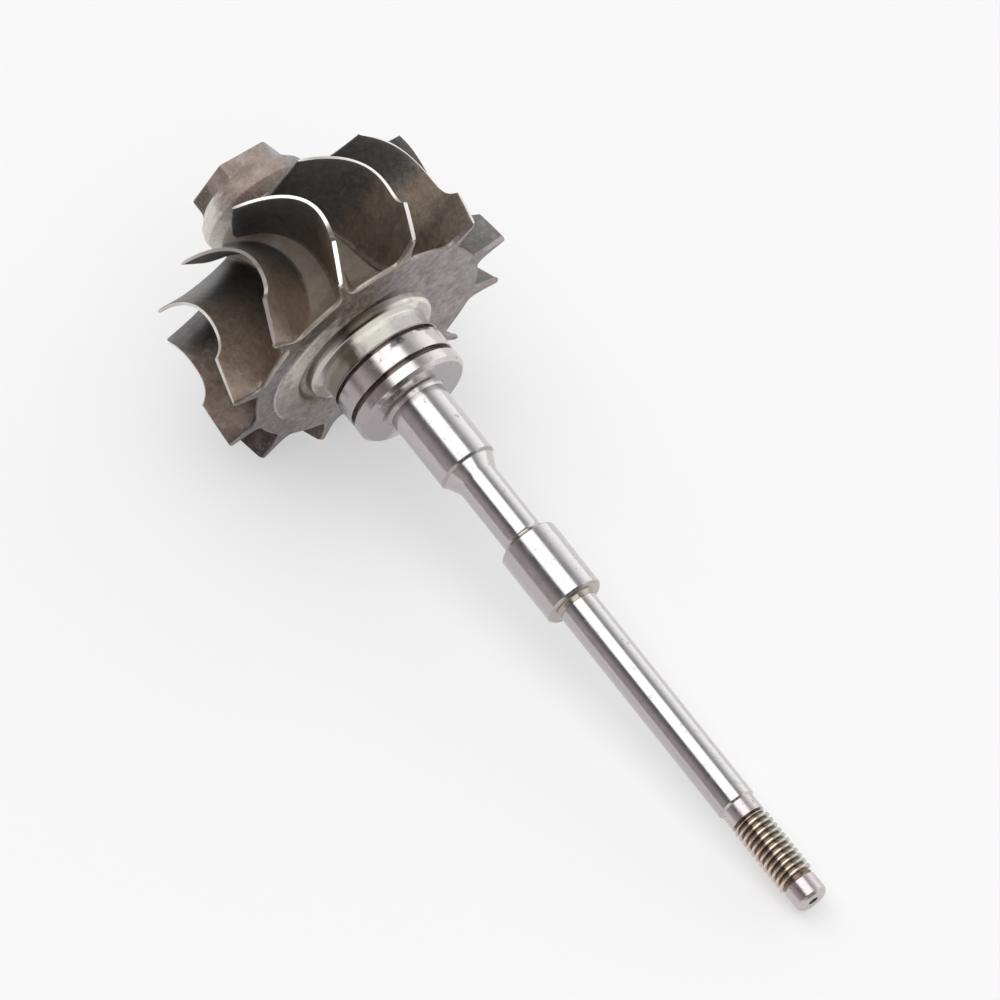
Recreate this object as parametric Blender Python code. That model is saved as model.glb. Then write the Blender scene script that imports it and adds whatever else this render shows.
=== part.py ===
"""Turbocharger shaft and wheel, built at real size in metres, +Z up.

The rotor is laid out along its own axis: stations run from the wheel's back face (0)
towards the threaded end (positive) and towards the hex nose (negative). Angles are
measured about that axis from straight up. The finished rotor hangs under one empty,
which tips it so that it lies on a floor on two lobes of the wheel and on the pilot tip.
"""
import math

import bmesh
import bpy
import numpy as np

# Wheel
BLADE_COUNT = 12
TIP_RADIUS = 0.0260
FIRST_BLADE_ANGLE = math.radians(-75.0)
VALLEY_RADIUS = 0.0206
DISC_EDGE = 0.0008
HUB_START_RADIUS = 0.0200
HUB_END_RADIUS = 0.0084
HUB_END_STATION = -0.0260
BLADE_END_STATION = -0.0248
HUB_FIRST_SHARE = 0.07
LOBE_WIDTH = 0.055
LOBE_SHARPNESS = 1.15

# Blade: the camber angle is a lean that falls with the station plus a curl at the outlet
LEAN_PER_MM = math.radians(1.144)
CURL_ANGLE = math.radians(32.6)
CURL_REACH = 0.0210
CURL_POWER = 4.72
KINK_STATION = -0.00677
KINK_RADIUS = 0.02589
SHROUD_RADIUS = 0.0235
SHROUD_BLEND = 0.00135
OUTLET_TIP_STATION = -0.02163
OUTLET_BOW = 0.00036
LOBE_SHARE = 0.22
RIM_THICKNESS = 0.0008
ROOT_THICKNESS = 0.0017
THIN_FROM_SPAN = 0.6
WALL_ANGLE_LIMIT = 0.11
BLADE_STEPS = 12
SPAN_STEPS = 5

# Nose
COLLAR_RADIUS = 0.00975
COLLAR_SHOULDER_RADIUS = 0.0093
COLLAR_STATIONS = (-0.0278, -0.0287, -0.0300)
COLLAR_CROWN = 0.0001
COLLAR_END_STATION = -0.0315
COLLAR_END_RADIUS = 0.0080
NOSE_CORNER_RADIUS = 0.0082
NOSE_END_STATION = -0.0343
NOSE_CORNER_ANGLE = math.radians(25.5)
NOSE_CHAMFER = 0.0003

# Back of the wheel and seal boss
RING_OUTER_RADIUS = 0.0175
RING_INNER_RADIUS = 0.0128
RING_HEIGHT = 0.0004
RELIEF_DEPTH = 0.0003
WELD_RADIUS = 0.0112
BULGE_RADIUS = 0.01095
BULGE_STATION = 0.0013
BULGE_ROUND = 0.0006
NECK_START = 0.0026
NECK_HOLLOW = 0.0006
NECK_RADIUS = 0.0091
BOSS_RADIUS = 0.0095
BOSS_START = 0.0030
BOSS_END = 0.0120
BOSS_CHAMFER = 0.0006
BOSS_LEAD = 0.0017
GROOVES = ((0.00485, 0.0055), (0.0086, 0.00955))
GROOVE_DEPTH = 0.0011

# Shaft
JOURNAL_RADIUS = 0.00482
WAIST_RADIUS = 0.0033
STUB_RADIUS = 0.00312
RELIEF_RADIUS = 0.0028
FIRST_JOURNAL_END = 0.0258
WAIST_END = 0.0406
SECOND_JOURNAL_END = 0.0527
STUB_END = 0.0930
THREAD_START = 0.0956
THREAD_END = 0.1080
PILOT_END = 0.1116
JOURNAL_CHAMFER = 0.0004
JOURNAL_LEAD = 0.0002
WAIST_TAPER = 0.0028
WAIST_TAPER_RISE = 0.0011
WAIST_FILLET = 0.0009
WAIST_SHOULDER = 0.0001
STUB_CHAMFER = 0.0003
JOURNAL_ROOT = 0.0128
JOURNAL_FILLET = 0.0005
STUB_ROOT = 0.0534
STUB_FILLET = 0.0004

# Thread and pilot
THREAD_PITCH = 0.0010
CREST_RADIUS = 0.00296
ROOT_RADIUS = 0.00236
FLANK_SPAN = 3.2
ROOT_FLAT = 0.25
RUN_OUT_TURNS = 0.8
PILOT_RADIUS = 0.00265
PILOT_CHAMFER = 0.0005
CENTRE_HOLE_RADIUS = 0.00065
CENTRE_HOLE_DEPTH = 0.0018
DRILL_POINT = 0.0004
PILOT_LEAD = 0.0003
PILOT_LEAD_DROP = 0.0002

# Gaps that keep neighbouring solids apart
SEAM = 0.00003
ROOT_GAP = 0.00025

# Facets
SIDES = 48
SHAFT_SIDES = 32
THREAD_SIDES = 20
SAMPLES_PER_TURN = 6
SMOOTH_LIMIT = math.radians(35.0)


def clear_scene():
    """Removes whatever the file holds before the part is made."""
    for item in list(bpy.data.objects):
        bpy.data.objects.remove(item, do_unlink=True)


def metal(name, colour, roughness, metallic=1.0):
    """Makes one Principled material."""
    material = bpy.data.materials.new(name)
    material.use_nodes = True
    shader = material.node_tree.nodes["Principled BSDF"]
    shader.inputs["Base Color"].default_value = (*colour, 1.0)
    shader.inputs["Roughness"].default_value = roughness
    shader.inputs["Metallic"].default_value = metallic
    return material


def add_object(name, mesh, material, parent):
    """Puts a mesh into the scene as a named piece of the rotor."""
    mesh.materials.append(material)
    mesh.shade_smooth()
    mesh.set_sharp_from_angle(angle=SMOOTH_LIMIT)
    piece = bpy.data.objects.new(name, mesh)
    bpy.context.collection.objects.link(piece)
    piece.parent = parent
    return piece


def mesh_from_bmesh(name, bm):
    """Merges the poles, turns every face outwards and returns the mesh."""
    bmesh.ops.remove_doubles(bm, verts=bm.verts, dist=1e-6)
    bmesh.ops.recalc_face_normals(bm, faces=bm.faces)
    mesh = bpy.data.meshes.new(name)
    bm.to_mesh(mesh)
    bm.free()
    return mesh


def turned(name, outline, material, parent, sides=SHAFT_SIDES):
    """Spins an outline of (station, radius) points about the shaft's axis, as on a lathe.

    The outline starts and ends on the axis, so the body closes by itself.
    """
    bm = bmesh.new()
    points = [bm.verts.new((station, 0.0, radius)) for station, radius in outline]
    edges = [bm.edges.new(pair) for pair in zip(points, points[1:])]
    bmesh.ops.spin(
        bm,
        geom=points + edges,
        axis=(1.0, 0.0, 0.0),
        cent=(0.0, 0.0, 0.0),
        angle=2.0 * math.pi,
        steps=sides,
        use_merge=True,
    )
    return add_object(name, mesh_from_bmesh(name, bm), material, parent)


def arc(centre, radii, first, last, steps):
    """Points of an ellipse's arc in the (station, radius) plane."""
    angles = [math.radians(first + (last - first) * i / steps) for i in range(steps + 1)]
    return [(centre[0] + radii[0] * math.cos(a), centre[1] + radii[1] * math.sin(a)) for a in angles]


def camber(station):
    """Angle of the blade's middle surface at a station, from the blade's back tip."""
    depth = -station
    return -LEAN_PER_MM * depth * 1000.0 + CURL_ANGLE * (depth / CURL_REACH) ** CURL_POWER


def hub_radius_at(share):
    """Hub curve as a quarter ellipse, from the disc's face (0) to the outlet (1)."""
    turn = share * 0.5 * math.pi
    station = HUB_END_STATION + (-DISC_EDGE - HUB_END_STATION) * math.cos(turn)
    radius = HUB_START_RADIUS - (HUB_START_RADIUS - HUB_END_RADIUS) * math.sin(turn)
    return station, radius


def blade_root_line(share):
    """Root of a blade: down the lobe's front face, then along the hub curve."""
    if share < LOBE_SHARE:
        radius = TIP_RADIUS + (HUB_START_RADIUS - TIP_RADIUS) * share / LOBE_SHARE
        return -DISC_EDGE - ROOT_GAP, radius
    station, radius = hub_radius_at((share - LOBE_SHARE) / (1.0 - LOBE_SHARE))
    station = max(station, BLADE_END_STATION)
    return station - ROOT_GAP, radius + ROOT_GAP


def blade_rim_line(share):
    """Rim of a blade: a short step in behind the inlet corner, then along the casing."""
    station = KINK_STATION + (OUTLET_TIP_STATION - KINK_STATION) * share
    step_in = math.exp((station - KINK_STATION) / SHROUD_BLEND)
    return station, SHROUD_RADIUS + (KINK_RADIUS - SHROUD_RADIUS) * step_in


def blade_point(share, span, side):
    """A point of a blade's skin: share runs from inlet to outlet, span from root to rim.

    Each column runs from the root line to the rim line, and the trailing edge bows a little
    towards the disc. The camber angle depends only on the station, so the blade's fibres are
    radial as on a cast wheel. Half the wall is added as an angle on either side, more where
    the blade leans, and up to a limit near the outlet.
    """
    root = blade_root_line(share)
    rim = blade_rim_line(share)
    bow = OUTLET_BOW * share**3 * 4.0 * span * (1.0 - span)
    station = root[0] + (rim[0] - root[0]) * span + bow
    radius = root[1] + (rim[1] - root[1]) * span
    wall = ROOT_THICKNESS + (RIM_THICKNESS - ROOT_THICKNESS) * min(1.0, span / THIN_FROM_SPAN)
    step = 1e-5
    slope = (camber(station - step) - camber(station + step)) / (2.0 * step) * radius
    half_wall = min(0.5 * wall * math.hypot(1.0, slope) / radius, WALL_ANGLE_LIMIT)
    angle = camber(station) + side * half_wall
    return station, -radius * math.sin(angle), radius * math.cos(angle)


def blade_mesh():
    """A blade as two skins either side of the middle surface, closed round its edge."""
    bm = bmesh.new()
    shares = [i / BLADE_STEPS for i in range(BLADE_STEPS + 1)]
    spans = [j / SPAN_STEPS for j in range(SPAN_STEPS + 1)]
    skins = [
        [[bm.verts.new(blade_point(share, span, side)) for span in spans] for share in shares]
        for side in (-1.0, 1.0)
    ]
    for rows in skins:
        for low, high in zip(rows, rows[1:]):
            for j in range(SPAN_STEPS):
                bm.faces.new((low[j], low[j + 1], high[j + 1], high[j]))
    left, right = (edge_loop(rows) for rows in skins)
    for a, b, c, d in zip(left, left[1:] + left[:1], right[1:] + right[:1], right):
        bm.faces.new((a, b, c, d))
    bmesh.ops.triangulate(bm, faces=bm.faces)
    return mesh_from_bmesh("blade", bm)


def edge_loop(rows):
    """The vertices round the border of a skin, in order."""
    last = [row[-1] for row in rows]
    first = [row[0] for row in rows]
    return rows[0][:-1] + last[:-1] + rows[-1][:0:-1] + first[:0:-1]


def lobe_edge_radius(angle):
    """Outline of the scalloped disc: a sharp lobe behind each blade, round valleys between."""
    pitch = 2.0 * math.pi / BLADE_COUNT
    share = abs((angle / pitch + 0.5) % 1.0 - 0.5)
    peak = math.exp(-((share / LOBE_WIDTH) ** LOBE_SHARPNESS))
    return VALLEY_RADIUS + (TIP_RADIUS - VALLEY_RADIUS) * peak


def back_face_station(radius):
    """Back of the disc: flat outside, a low ring, then a shallow relief round the boss."""
    if radius >= RING_OUTER_RADIUS:
        return 0.0
    if radius >= RING_INNER_RADIUS:
        across = (radius - RING_INNER_RADIUS) / (RING_OUTER_RADIUS - RING_INNER_RADIUS)
        return RING_HEIGHT * min(1.0, 3.0 * min(across, 1.0 - across))
    return -RELIEF_DEPTH


def scalloped_disc(material, parent):
    """The back disc on a polar grid, with its rim drawn out to one lobe for each blade."""
    shares = (0.0, 0.03, 0.08, 0.16, 0.3, 0.5, 0.7, 0.84, 0.92, 0.97)
    pitch = 2.0 * math.pi / BLADE_COUNT
    angles = [(blade + share) * pitch for blade in range(BLADE_COUNT) for share in shares]
    ring = RING_OUTER_RADIUS - RING_INNER_RADIUS
    radii = [
        WELD_RADIUS,
        RING_INNER_RADIUS,
        RING_INNER_RADIUS + ring / 3.0,
        RING_OUTER_RADIUS - ring / 3.0,
        RING_OUTER_RADIUS,
    ]
    bm = bmesh.new()
    columns = []
    for angle in angles:
        turn = (-math.sin(angle), math.cos(angle))
        edge = lobe_edge_radius(angle)
        column = [(back_face_station(r), r) for r in radii]
        column += [(0.0, edge), (-DISC_EDGE, edge), (-DISC_EDGE, WELD_RADIUS)]
        columns.append([bm.verts.new((s, r * turn[0], r * turn[1])) for s, r in column])
    back = bm.verts.new((-RELIEF_DEPTH, 0.0, 0.0))
    front = bm.verts.new((-DISC_EDGE, 0.0, 0.0))
    for here, there in zip(columns, columns[1:] + columns[:1]):
        for i in range(len(here) - 1):
            bm.faces.new((here[i], here[i + 1], there[i + 1], there[i]))
        bm.faces.new((back, here[0], there[0]))
        bm.faces.new((front, there[-1], here[-1]))
    piece = add_object("back_disc", mesh_from_bmesh("back_disc", bm), material, parent)
    piece.rotation_euler = (FIRST_BLADE_ANGLE, 0.0, 0.0)
    return piece


def wheel(cast, parent):
    """Hub, scalloped disc and twelve blades of the turbine wheel."""
    curve = [hub_radius_at(HUB_FIRST_SHARE + (1.0 - HUB_FIRST_SHARE) * i / 12) for i in range(13)]
    hub = [(-DISC_EDGE - SEAM, 0.0), (-DISC_EDGE - SEAM, curve[0][1])]
    hub += [point for point in curve if point[0] < -DISC_EDGE - SEAM]
    hub += [(HUB_END_STATION, 0.0)]
    turned("wheel_hub", hub, cast, parent, SIDES)
    scalloped_disc(cast, parent)
    mesh = blade_mesh()
    for index in range(BLADE_COUNT):
        name = f"blade_{index + 1:02d}"
        blade = add_object(name, mesh if index == 0 else mesh.copy(), cast, parent)
        blade.rotation_euler = (FIRST_BLADE_ANGLE + index * 2.0 * math.pi / BLADE_COUNT, 0.0, 0.0)


def nose(cast, ground, parent):
    """Collar at the outlet end of the hub, and the hexagon that holds the wheel for balancing."""
    collar = [
        (HUB_END_STATION - SEAM, 0.0),
        (HUB_END_STATION - SEAM, HUB_END_RADIUS),
        (COLLAR_STATIONS[0], COLLAR_RADIUS - COLLAR_CROWN),
        (COLLAR_STATIONS[1], COLLAR_RADIUS),
        (COLLAR_STATIONS[2], COLLAR_SHOULDER_RADIUS),
        (COLLAR_END_STATION, COLLAR_END_RADIUS),
        (COLLAR_END_STATION, 0.0),
    ]
    turned("nose_collar", collar, ground, parent, SIDES)
    prism = [
        (COLLAR_END_STATION - SEAM, 0.0),
        (COLLAR_END_STATION - SEAM, NOSE_CORNER_RADIUS),
        (NOSE_END_STATION + NOSE_CHAMFER, NOSE_CORNER_RADIUS),
        (NOSE_END_STATION, NOSE_CORNER_RADIUS - NOSE_CHAMFER),
        (NOSE_END_STATION, 0.0),
    ]
    hexagon = turned("hex_nose", prism, cast, parent, 6)
    hexagon.rotation_euler = (NOSE_CORNER_ANGLE, 0.0, 0.0)


def weld_neck(material, parent):
    """Rounded bulge and neck where the shaft is welded to the casting."""
    start = -RELIEF_DEPTH + SEAM
    outline = [(start, 0.0), (start, WELD_RADIUS)]
    bulge = (BULGE_STATION, BULGE_RADIUS - BULGE_ROUND)
    hollow = (NECK_START, NECK_RADIUS + NECK_HOLLOW)
    outline += arc(bulge, (BULGE_ROUND, BULGE_ROUND), 110.0, 10.0, 5)
    outline += arc(hollow, (NECK_HOLLOW, NECK_HOLLOW), 180.0, 270.0, 4)
    outline += [(BOSS_START, NECK_RADIUS), (BOSS_START, 0.0)]
    turned("weld_neck", outline, material, parent, SIDES)


def seal_boss(material, parent):
    """Turned boss with two ring grooves, a broken edge at its flat end face, and the journal's root.

    The root is turned with the boss, so the end face is a ring that a collar can lie against.
    """
    outline = [
        (BOSS_START + SEAM, 0.0),
        (BOSS_START + SEAM, NECK_RADIUS),
        (BOSS_START + BOSS_LEAD, BOSS_RADIUS),
    ]
    for start, end in GROOVES:
        outline += [
            (start, BOSS_RADIUS),
            (start, BOSS_RADIUS - GROOVE_DEPTH),
            (end, BOSS_RADIUS - GROOVE_DEPTH),
            (end, BOSS_RADIUS),
        ]
    outline += [
        (BOSS_END - BOSS_CHAMFER, BOSS_RADIUS),
        (BOSS_END, BOSS_RADIUS - BOSS_CHAMFER),
        (BOSS_END, JOURNAL_RADIUS + JOURNAL_FILLET),
        (BOSS_END + JOURNAL_FILLET, JOURNAL_RADIUS),
        (JOURNAL_ROOT, JOURNAL_RADIUS),
        (JOURNAL_ROOT, 0.0),
    ]
    turned("seal_boss", outline, material, parent, SIDES)


def shaft(steel, parent):
    """The ground shaft, from the seal boss to the thread, one piece for each diameter."""
    turned(
        "journal_wheel_side",
        [
            (JOURNAL_ROOT + SEAM, 0.0),
            (JOURNAL_ROOT + SEAM, JOURNAL_RADIUS),
            (FIRST_JOURNAL_END - JOURNAL_CHAMFER, JOURNAL_RADIUS),
            (FIRST_JOURNAL_END, JOURNAL_RADIUS - JOURNAL_CHAMFER),
            (FIRST_JOURNAL_END, 0.0),
        ],
        steel,
        parent,
    )
    taper_centre = (FIRST_JOURNAL_END + WAIST_TAPER + WAIST_SHOULDER, WAIST_RADIUS + WAIST_TAPER_RISE)
    rise_centre = (WAIST_END - WAIST_FILLET - WAIST_SHOULDER, WAIST_RADIUS + WAIST_FILLET)
    taper = arc(taper_centre, (WAIST_TAPER, WAIST_TAPER_RISE), 180.0, 270.0, 4)
    rise = arc(rise_centre, (WAIST_FILLET, WAIST_FILLET), 270.0, 360.0, 4)
    turned(
        "shaft_waist",
        [(FIRST_JOURNAL_END + SEAM, 0.0), (FIRST_JOURNAL_END + SEAM, taper[0][1])]
        + taper
        + rise
        + [(WAIST_END, rise[-1][1]), (WAIST_END, 0.0)],
        steel,
        parent,
    )
    turned(
        "journal_compressor_side",
        [
            (WAIST_END + SEAM, 0.0),
            (WAIST_END + SEAM, JOURNAL_RADIUS - JOURNAL_LEAD),
            (WAIST_END + JOURNAL_LEAD, JOURNAL_RADIUS),
            (SECOND_JOURNAL_END - JOURNAL_CHAMFER, JOURNAL_RADIUS),
            (SECOND_JOURNAL_END, JOURNAL_RADIUS - JOURNAL_CHAMFER),
            (SECOND_JOURNAL_END, STUB_RADIUS + STUB_FILLET),
            (SECOND_JOURNAL_END + STUB_FILLET, STUB_RADIUS),
            (STUB_ROOT, STUB_RADIUS),
            (STUB_ROOT, 0.0),
        ],
        steel,
        parent,
    )
    turned(
        "stub_shaft",
        [
            (STUB_ROOT + SEAM, 0.0),
            (STUB_ROOT + SEAM, STUB_RADIUS),
            (STUB_END - STUB_CHAMFER, STUB_RADIUS),
            (STUB_END, RELIEF_RADIUS),
            (STUB_END, 0.0),
        ],
        steel,
        parent,
    )
    turned(
        "thread_relief",
        [
            (STUB_END + SEAM, 0.0),
            (STUB_END + SEAM, RELIEF_RADIUS),
            (THREAD_START, RELIEF_RADIUS),
            (THREAD_START, 0.0),
        ],
        steel,
        parent,
    )


def threaded_end(steel, parent):
    """Metric thread as a height over (station, angle): a trapezoid wave on a helix."""
    start = THREAD_START + SEAM
    length = THREAD_END - start
    rows = round(length / THREAD_PITCH * SAMPLES_PER_TURN)
    stations = start + length * np.arange(rows + 1) / rows
    angles = 2.0 * np.pi * np.arange(THREAD_SIDES) / THREAD_SIDES
    phase = (stations[:, None] / THREAD_PITCH - angles[None, :] / (2.0 * np.pi)) % 1.0
    wave = np.clip((0.5 - np.abs(phase - 0.5)) * FLANK_SPAN - ROOT_FLAT, 0.0, 1.0)
    from_end = np.minimum(stations - start, THREAD_END - stations)[:, None]
    run_out = np.clip(from_end / (RUN_OUT_TURNS * THREAD_PITCH), 0.0, 1.0)
    radii = ROOT_RADIUS + (CREST_RADIUS - ROOT_RADIUS) * wave * run_out
    bm = bmesh.new()
    grid = [
        [bm.verts.new((x, -r * math.sin(a), r * math.cos(a))) for r, a in zip(row, angles)]
        for x, row in zip(stations, radii)
    ]
    for low, high in zip(grid, grid[1:]):
        for a, b, c, d in zip(low, low[1:] + low[:1], high[1:] + high[:1], high):
            bm.faces.new((a, b, c, d))
    bm.faces.new(grid[0])
    bm.faces.new(grid[-1][::-1])
    bmesh.ops.triangulate(bm, faces=bm.faces)
    add_object("threaded_end", mesh_from_bmesh("threaded_end", bm), steel, parent)


def pilot_tip(steel, parent):
    """Plain tip beyond the thread, with a chamfer and a drilled centre."""
    hole_floor = PILOT_END - CENTRE_HOLE_DEPTH
    outline = [
        (THREAD_END + SEAM, 0.0),
        (THREAD_END + SEAM, PILOT_RADIUS - PILOT_LEAD_DROP),
        (THREAD_END + PILOT_LEAD, PILOT_RADIUS),
        (PILOT_END - PILOT_CHAMFER, PILOT_RADIUS),
        (PILOT_END, PILOT_RADIUS - PILOT_CHAMFER),
        (PILOT_END, CENTRE_HOLE_RADIUS),
        (hole_floor, CENTRE_HOLE_RADIUS),
        (hole_floor - DRILL_POINT, 0.0),
    ]
    turned("pilot_tip", outline, steel, parent)


def lay_on_floor(rotor):
    """Tips the rotor onto two lobes and the pilot tip, and centres it over the origin."""
    lobe_drop = TIP_RADIUS * math.cos(math.pi / BLADE_COUNT)
    dip = math.atan2(lobe_drop - PILOT_RADIUS, PILOT_END - PILOT_CHAMFER)
    rotor.rotation_euler = (0.0, dip, 0.0)
    bpy.context.view_layer.update()
    pieces = [item for item in bpy.data.objects if item.type == "MESH"]
    corners = [item.matrix_world @ vertex.co for item in pieces for vertex in item.data.vertices]
    low = [min(corner[i] for corner in corners) for i in range(3)]
    high = [max(corner[i] for corner in corners) for i in range(3)]
    rotor.location = (-(low[0] + high[0]) / 2.0, -(low[1] + high[1]) / 2.0, -low[2])


def main():
    clear_scene()
    rotor = bpy.data.objects.new("rotor_axis", None)
    bpy.context.collection.objects.link(rotor)
    cast = metal("cast_alloy", (0.12, 0.10, 0.09), 0.55)
    ground = metal("ground_cast", (0.42, 0.39, 0.37), 0.5)
    turned_steel = metal("turned_steel", (0.60, 0.57, 0.57), 0.25)
    ground_steel = metal("ground_steel", (0.68, 0.66, 0.66), 0.18)
    aged_steel = metal("oxidised_steel", (0.30, 0.25, 0.18), 0.4)
    wheel(cast, rotor)
    nose(cast, ground, rotor)
    weld_neck(ground, rotor)
    seal_boss(turned_steel, rotor)
    shaft(ground_steel, rotor)
    threaded_end(aged_steel, rotor)
    pilot_tip(ground_steel, rotor)
    lay_on_floor(rotor)


main()
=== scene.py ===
# %% [markdown]
# # A turbocharger shaft and wheel
# The part is one rotor. A turbine wheel is cast with its hub, disc, blades and hexagonal nose in
# one pour, and a steel shaft is friction welded to its back. The shaft is then turned and ground:
# a boss with two seal ring grooves, two bearing journals with a thinner waist between them, a long
# stub for the compressor wheel, a rolled thread and a small pilot tip.
#
# Every shape here is a surface with a rule: a turned outline, a blade that leans and curls, a disc
# whose rim moves in and out. So each one is worked out with numpy on a grid of two parameters.
# That stays exact at any fineness, and one number changes one thing.

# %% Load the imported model
import math

import bpy
import numpy as np
from mathutils import Matrix, Vector


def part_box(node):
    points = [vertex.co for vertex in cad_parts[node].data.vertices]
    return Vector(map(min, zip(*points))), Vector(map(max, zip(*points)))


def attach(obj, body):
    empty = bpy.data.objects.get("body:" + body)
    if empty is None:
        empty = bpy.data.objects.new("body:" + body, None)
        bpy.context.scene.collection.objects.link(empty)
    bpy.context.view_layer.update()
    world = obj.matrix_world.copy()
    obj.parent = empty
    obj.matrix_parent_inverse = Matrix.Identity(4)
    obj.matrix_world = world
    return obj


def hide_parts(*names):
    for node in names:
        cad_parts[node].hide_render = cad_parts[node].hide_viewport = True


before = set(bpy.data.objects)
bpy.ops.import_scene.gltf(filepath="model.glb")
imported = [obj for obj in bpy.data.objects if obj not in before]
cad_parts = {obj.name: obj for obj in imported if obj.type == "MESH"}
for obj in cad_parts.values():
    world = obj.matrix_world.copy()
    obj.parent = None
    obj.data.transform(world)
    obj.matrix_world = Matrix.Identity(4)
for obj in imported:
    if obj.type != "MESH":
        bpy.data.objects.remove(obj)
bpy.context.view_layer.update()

# %% [markdown]
# ## Where the rotor lies
# All sizes below are the rotor's own, in millimetres. A station is a distance along the axis from
# the wheel's flat back, positive towards the thread and negative towards the nose. An angle is
# measured about the axis from straight up. The rotor lies on two lobes of its wheel and on its
# pilot tip, so the axis dips towards the thread. The dip follows from the two radii, and the place
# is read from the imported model: the thread relief is a plain cylinder, so the middle of its box is
# a point of the axis. Turning the finished objects would do as well, but then each object would
# have its own place, and the patterns of the metals would turn with it.

# %% Main sizes of the rotor
MM = 0.001
FULL_TURN = 2.0 * math.pi
BLADE_COUNT = 12
BLADE_PITCH = FULL_TURN / BLADE_COUNT
FIRST_BLADE_ANGLE = math.radians(-75.0)
TIP_RADIUS = 26.0
PILOT_RADIUS = 2.65
PILOT_END = 111.6
PILOT_CHAMFER = 0.5
RELIEF_START = 93.03
RELIEF_END = 95.6
print("wheel:", 2.0 * TIP_RADIUS, "mm over the tips, with", BLADE_COUNT, "blades")

# %% The axis and its place on the floor
lobe_drop = TIP_RADIUS * math.cos(0.5 * BLADE_PITCH)
DIP = math.atan2(lobe_drop - PILOT_RADIUS, PILOT_END - PILOT_CHAMFER)
DIP_TURN = np.array(Matrix.Rotation(DIP, 3, "Y"))
relief_low, relief_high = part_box("thread_relief")
relief_middle = np.array((relief_low + relief_high) / 2.0)
ORIGIN = relief_middle - DIP_TURN[:, 0] * (RELIEF_START + RELIEF_END) / 2.0 * MM
print("dip", round(math.degrees(DIP), 2), "degrees, back of the wheel at", ORIGIN.round(4))


def to_floor(station, radius, angle):
    """Points of the rotor as metres on the floor.

    A point is the station along the axis plus the radius turned by the angle from straight up,
    and the whole is dipped and moved to its place.
    """
    station, radius, angle = np.broadcast_arrays(station, radius, angle)
    local = np.stack([station, -radius * np.sin(angle), radius * np.cos(angle)], axis=-1) * MM
    return local @ DIP_TURN.T + ORIGIN


# %% [markdown]
# ## From arrays to a mesh
# A grid of points becomes quads between neighbouring rows and columns. Round pieces close on
# themselves, and at each end of the axis a fan of triangles meets in one pole. The sign of the
# enclosed volume tells whether the faces look outwards, and a shape that came out inside out is
# turned once, as a whole. Blender's own cylinders and modifiers could start most of these pieces,
# but a grid keeps every row and column at a place that was chosen.

# %% Quads of a grid
def grid_quads(rows, columns, closed):
    """Corner numbers of the quads between the rows and columns of a grid, closed round if asked.

    A point's number is its row times the count of columns, plus its column.
    """
    row = np.arange(rows - 1)[:, None] * columns
    column = np.arange(columns if closed else columns - 1)[None, :]
    beside = (column + 1) % columns
    quads = [row + column, row + columns + column, row + columns + beside, row + beside]
    return np.stack(np.broadcast_arrays(*quads), axis=-1).reshape(-1, 4)


for closed in (False, True):
    print("closed" if closed else "open", "grid of 3 by 4 points:", len(grid_quads(3, 4, closed)), "quads")

# %% One finished piece
SMOOTH_LIMIT = math.radians(32.0)
print("edges over", round(math.degrees(SMOOTH_LIMIT)), "degrees stay sharp")


def enclosed_volume(mesh, vertices):
    """Volume inside a closed mesh, negative if its faces look inwards, and its count of triangles.

    Each triangle and the middle of all points span a tetrahedron. Its volume is a sixth of the
    triple product of the three arms from that middle to the corners.
    """
    mesh.calc_loop_triangles()
    corners = np.empty(3 * len(mesh.loop_triangles), np.int32)
    mesh.loop_triangles.foreach_get("vertices", corners)
    a, b, c = (vertices - vertices.mean(axis=0))[corners.reshape(-1, 3)].transpose(1, 0, 2)
    return float(np.sum(np.cross(a, b) * c)) / 6.0, len(mesh.loop_triangles)


def make_piece(node, points, faces, finishes, face_finish=None):
    """Makes the closed, smooth skin that stands for a CAD node and takes its finish from a slot."""
    vertices = points.reshape(-1, 3)
    mesh = bpy.data.meshes.new(f"{node}_skin")
    mesh.from_pydata(vertices.tolist(), [], faces)
    volume, triangles = enclosed_volume(mesh, vertices)
    if volume < 0.0:
        mesh.flip_normals()
    for finish in finishes:
        mesh.materials.append(finish)
    if face_finish is not None:
        mesh.polygons.foreach_set("material_index", face_finish)
    mesh.shade_smooth()
    mesh.set_sharp_from_angle(angle=SMOOTH_LIMIT)
    piece = bpy.data.objects.new(f"{node}_skin", mesh)
    bpy.context.scene.collection.objects.link(piece)
    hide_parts(node)
    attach(piece, "root")
    print(f"{piece.name}: {triangles} triangles, {abs(volume) * 1e6:.3f} cm3")


# %% Round pieces
def round_piece(node, stations, radii, angles, finishes, row_finish=None):
    """A body about the axis from a grid: rows run along it, columns go right round it.

    The first and last rows close on a pole on the axis. A row's faces can take the second finish.
    """
    stations, radii, angles = np.broadcast_arrays(stations, radii, angles)
    rows, columns = radii.shape
    skin = to_floor(stations, radii, angles).reshape(-1, 3)
    poles = to_floor(stations[[0, -1], 0], 0.0, 0.0)
    ring = np.arange(columns)
    beside = (ring + 1) % columns
    first = np.stack([np.full(columns, rows * columns), ring, beside], axis=-1)
    last_row = (rows - 1) * columns
    last = np.stack([np.full(columns, rows * columns + 1), last_row + beside, last_row + ring], axis=-1)
    faces = grid_quads(rows, columns, True).tolist() + first.tolist() + last.tolist()
    face_finish = None
    if row_finish is not None:
        face_finish = np.concatenate([np.repeat(row_finish, columns), np.zeros(2 * columns, int)])
    make_piece(node, np.concatenate([skin, poles]), faces, finishes, face_finish)


def even_angles(columns):
    """Angles of evenly spread columns, as one row of a grid."""
    return FULL_TURN * np.arange(columns)[None, :] / columns


print("96 columns stand", round(math.degrees(even_angles(96)[0, 1]), 2), "degrees apart")

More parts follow.
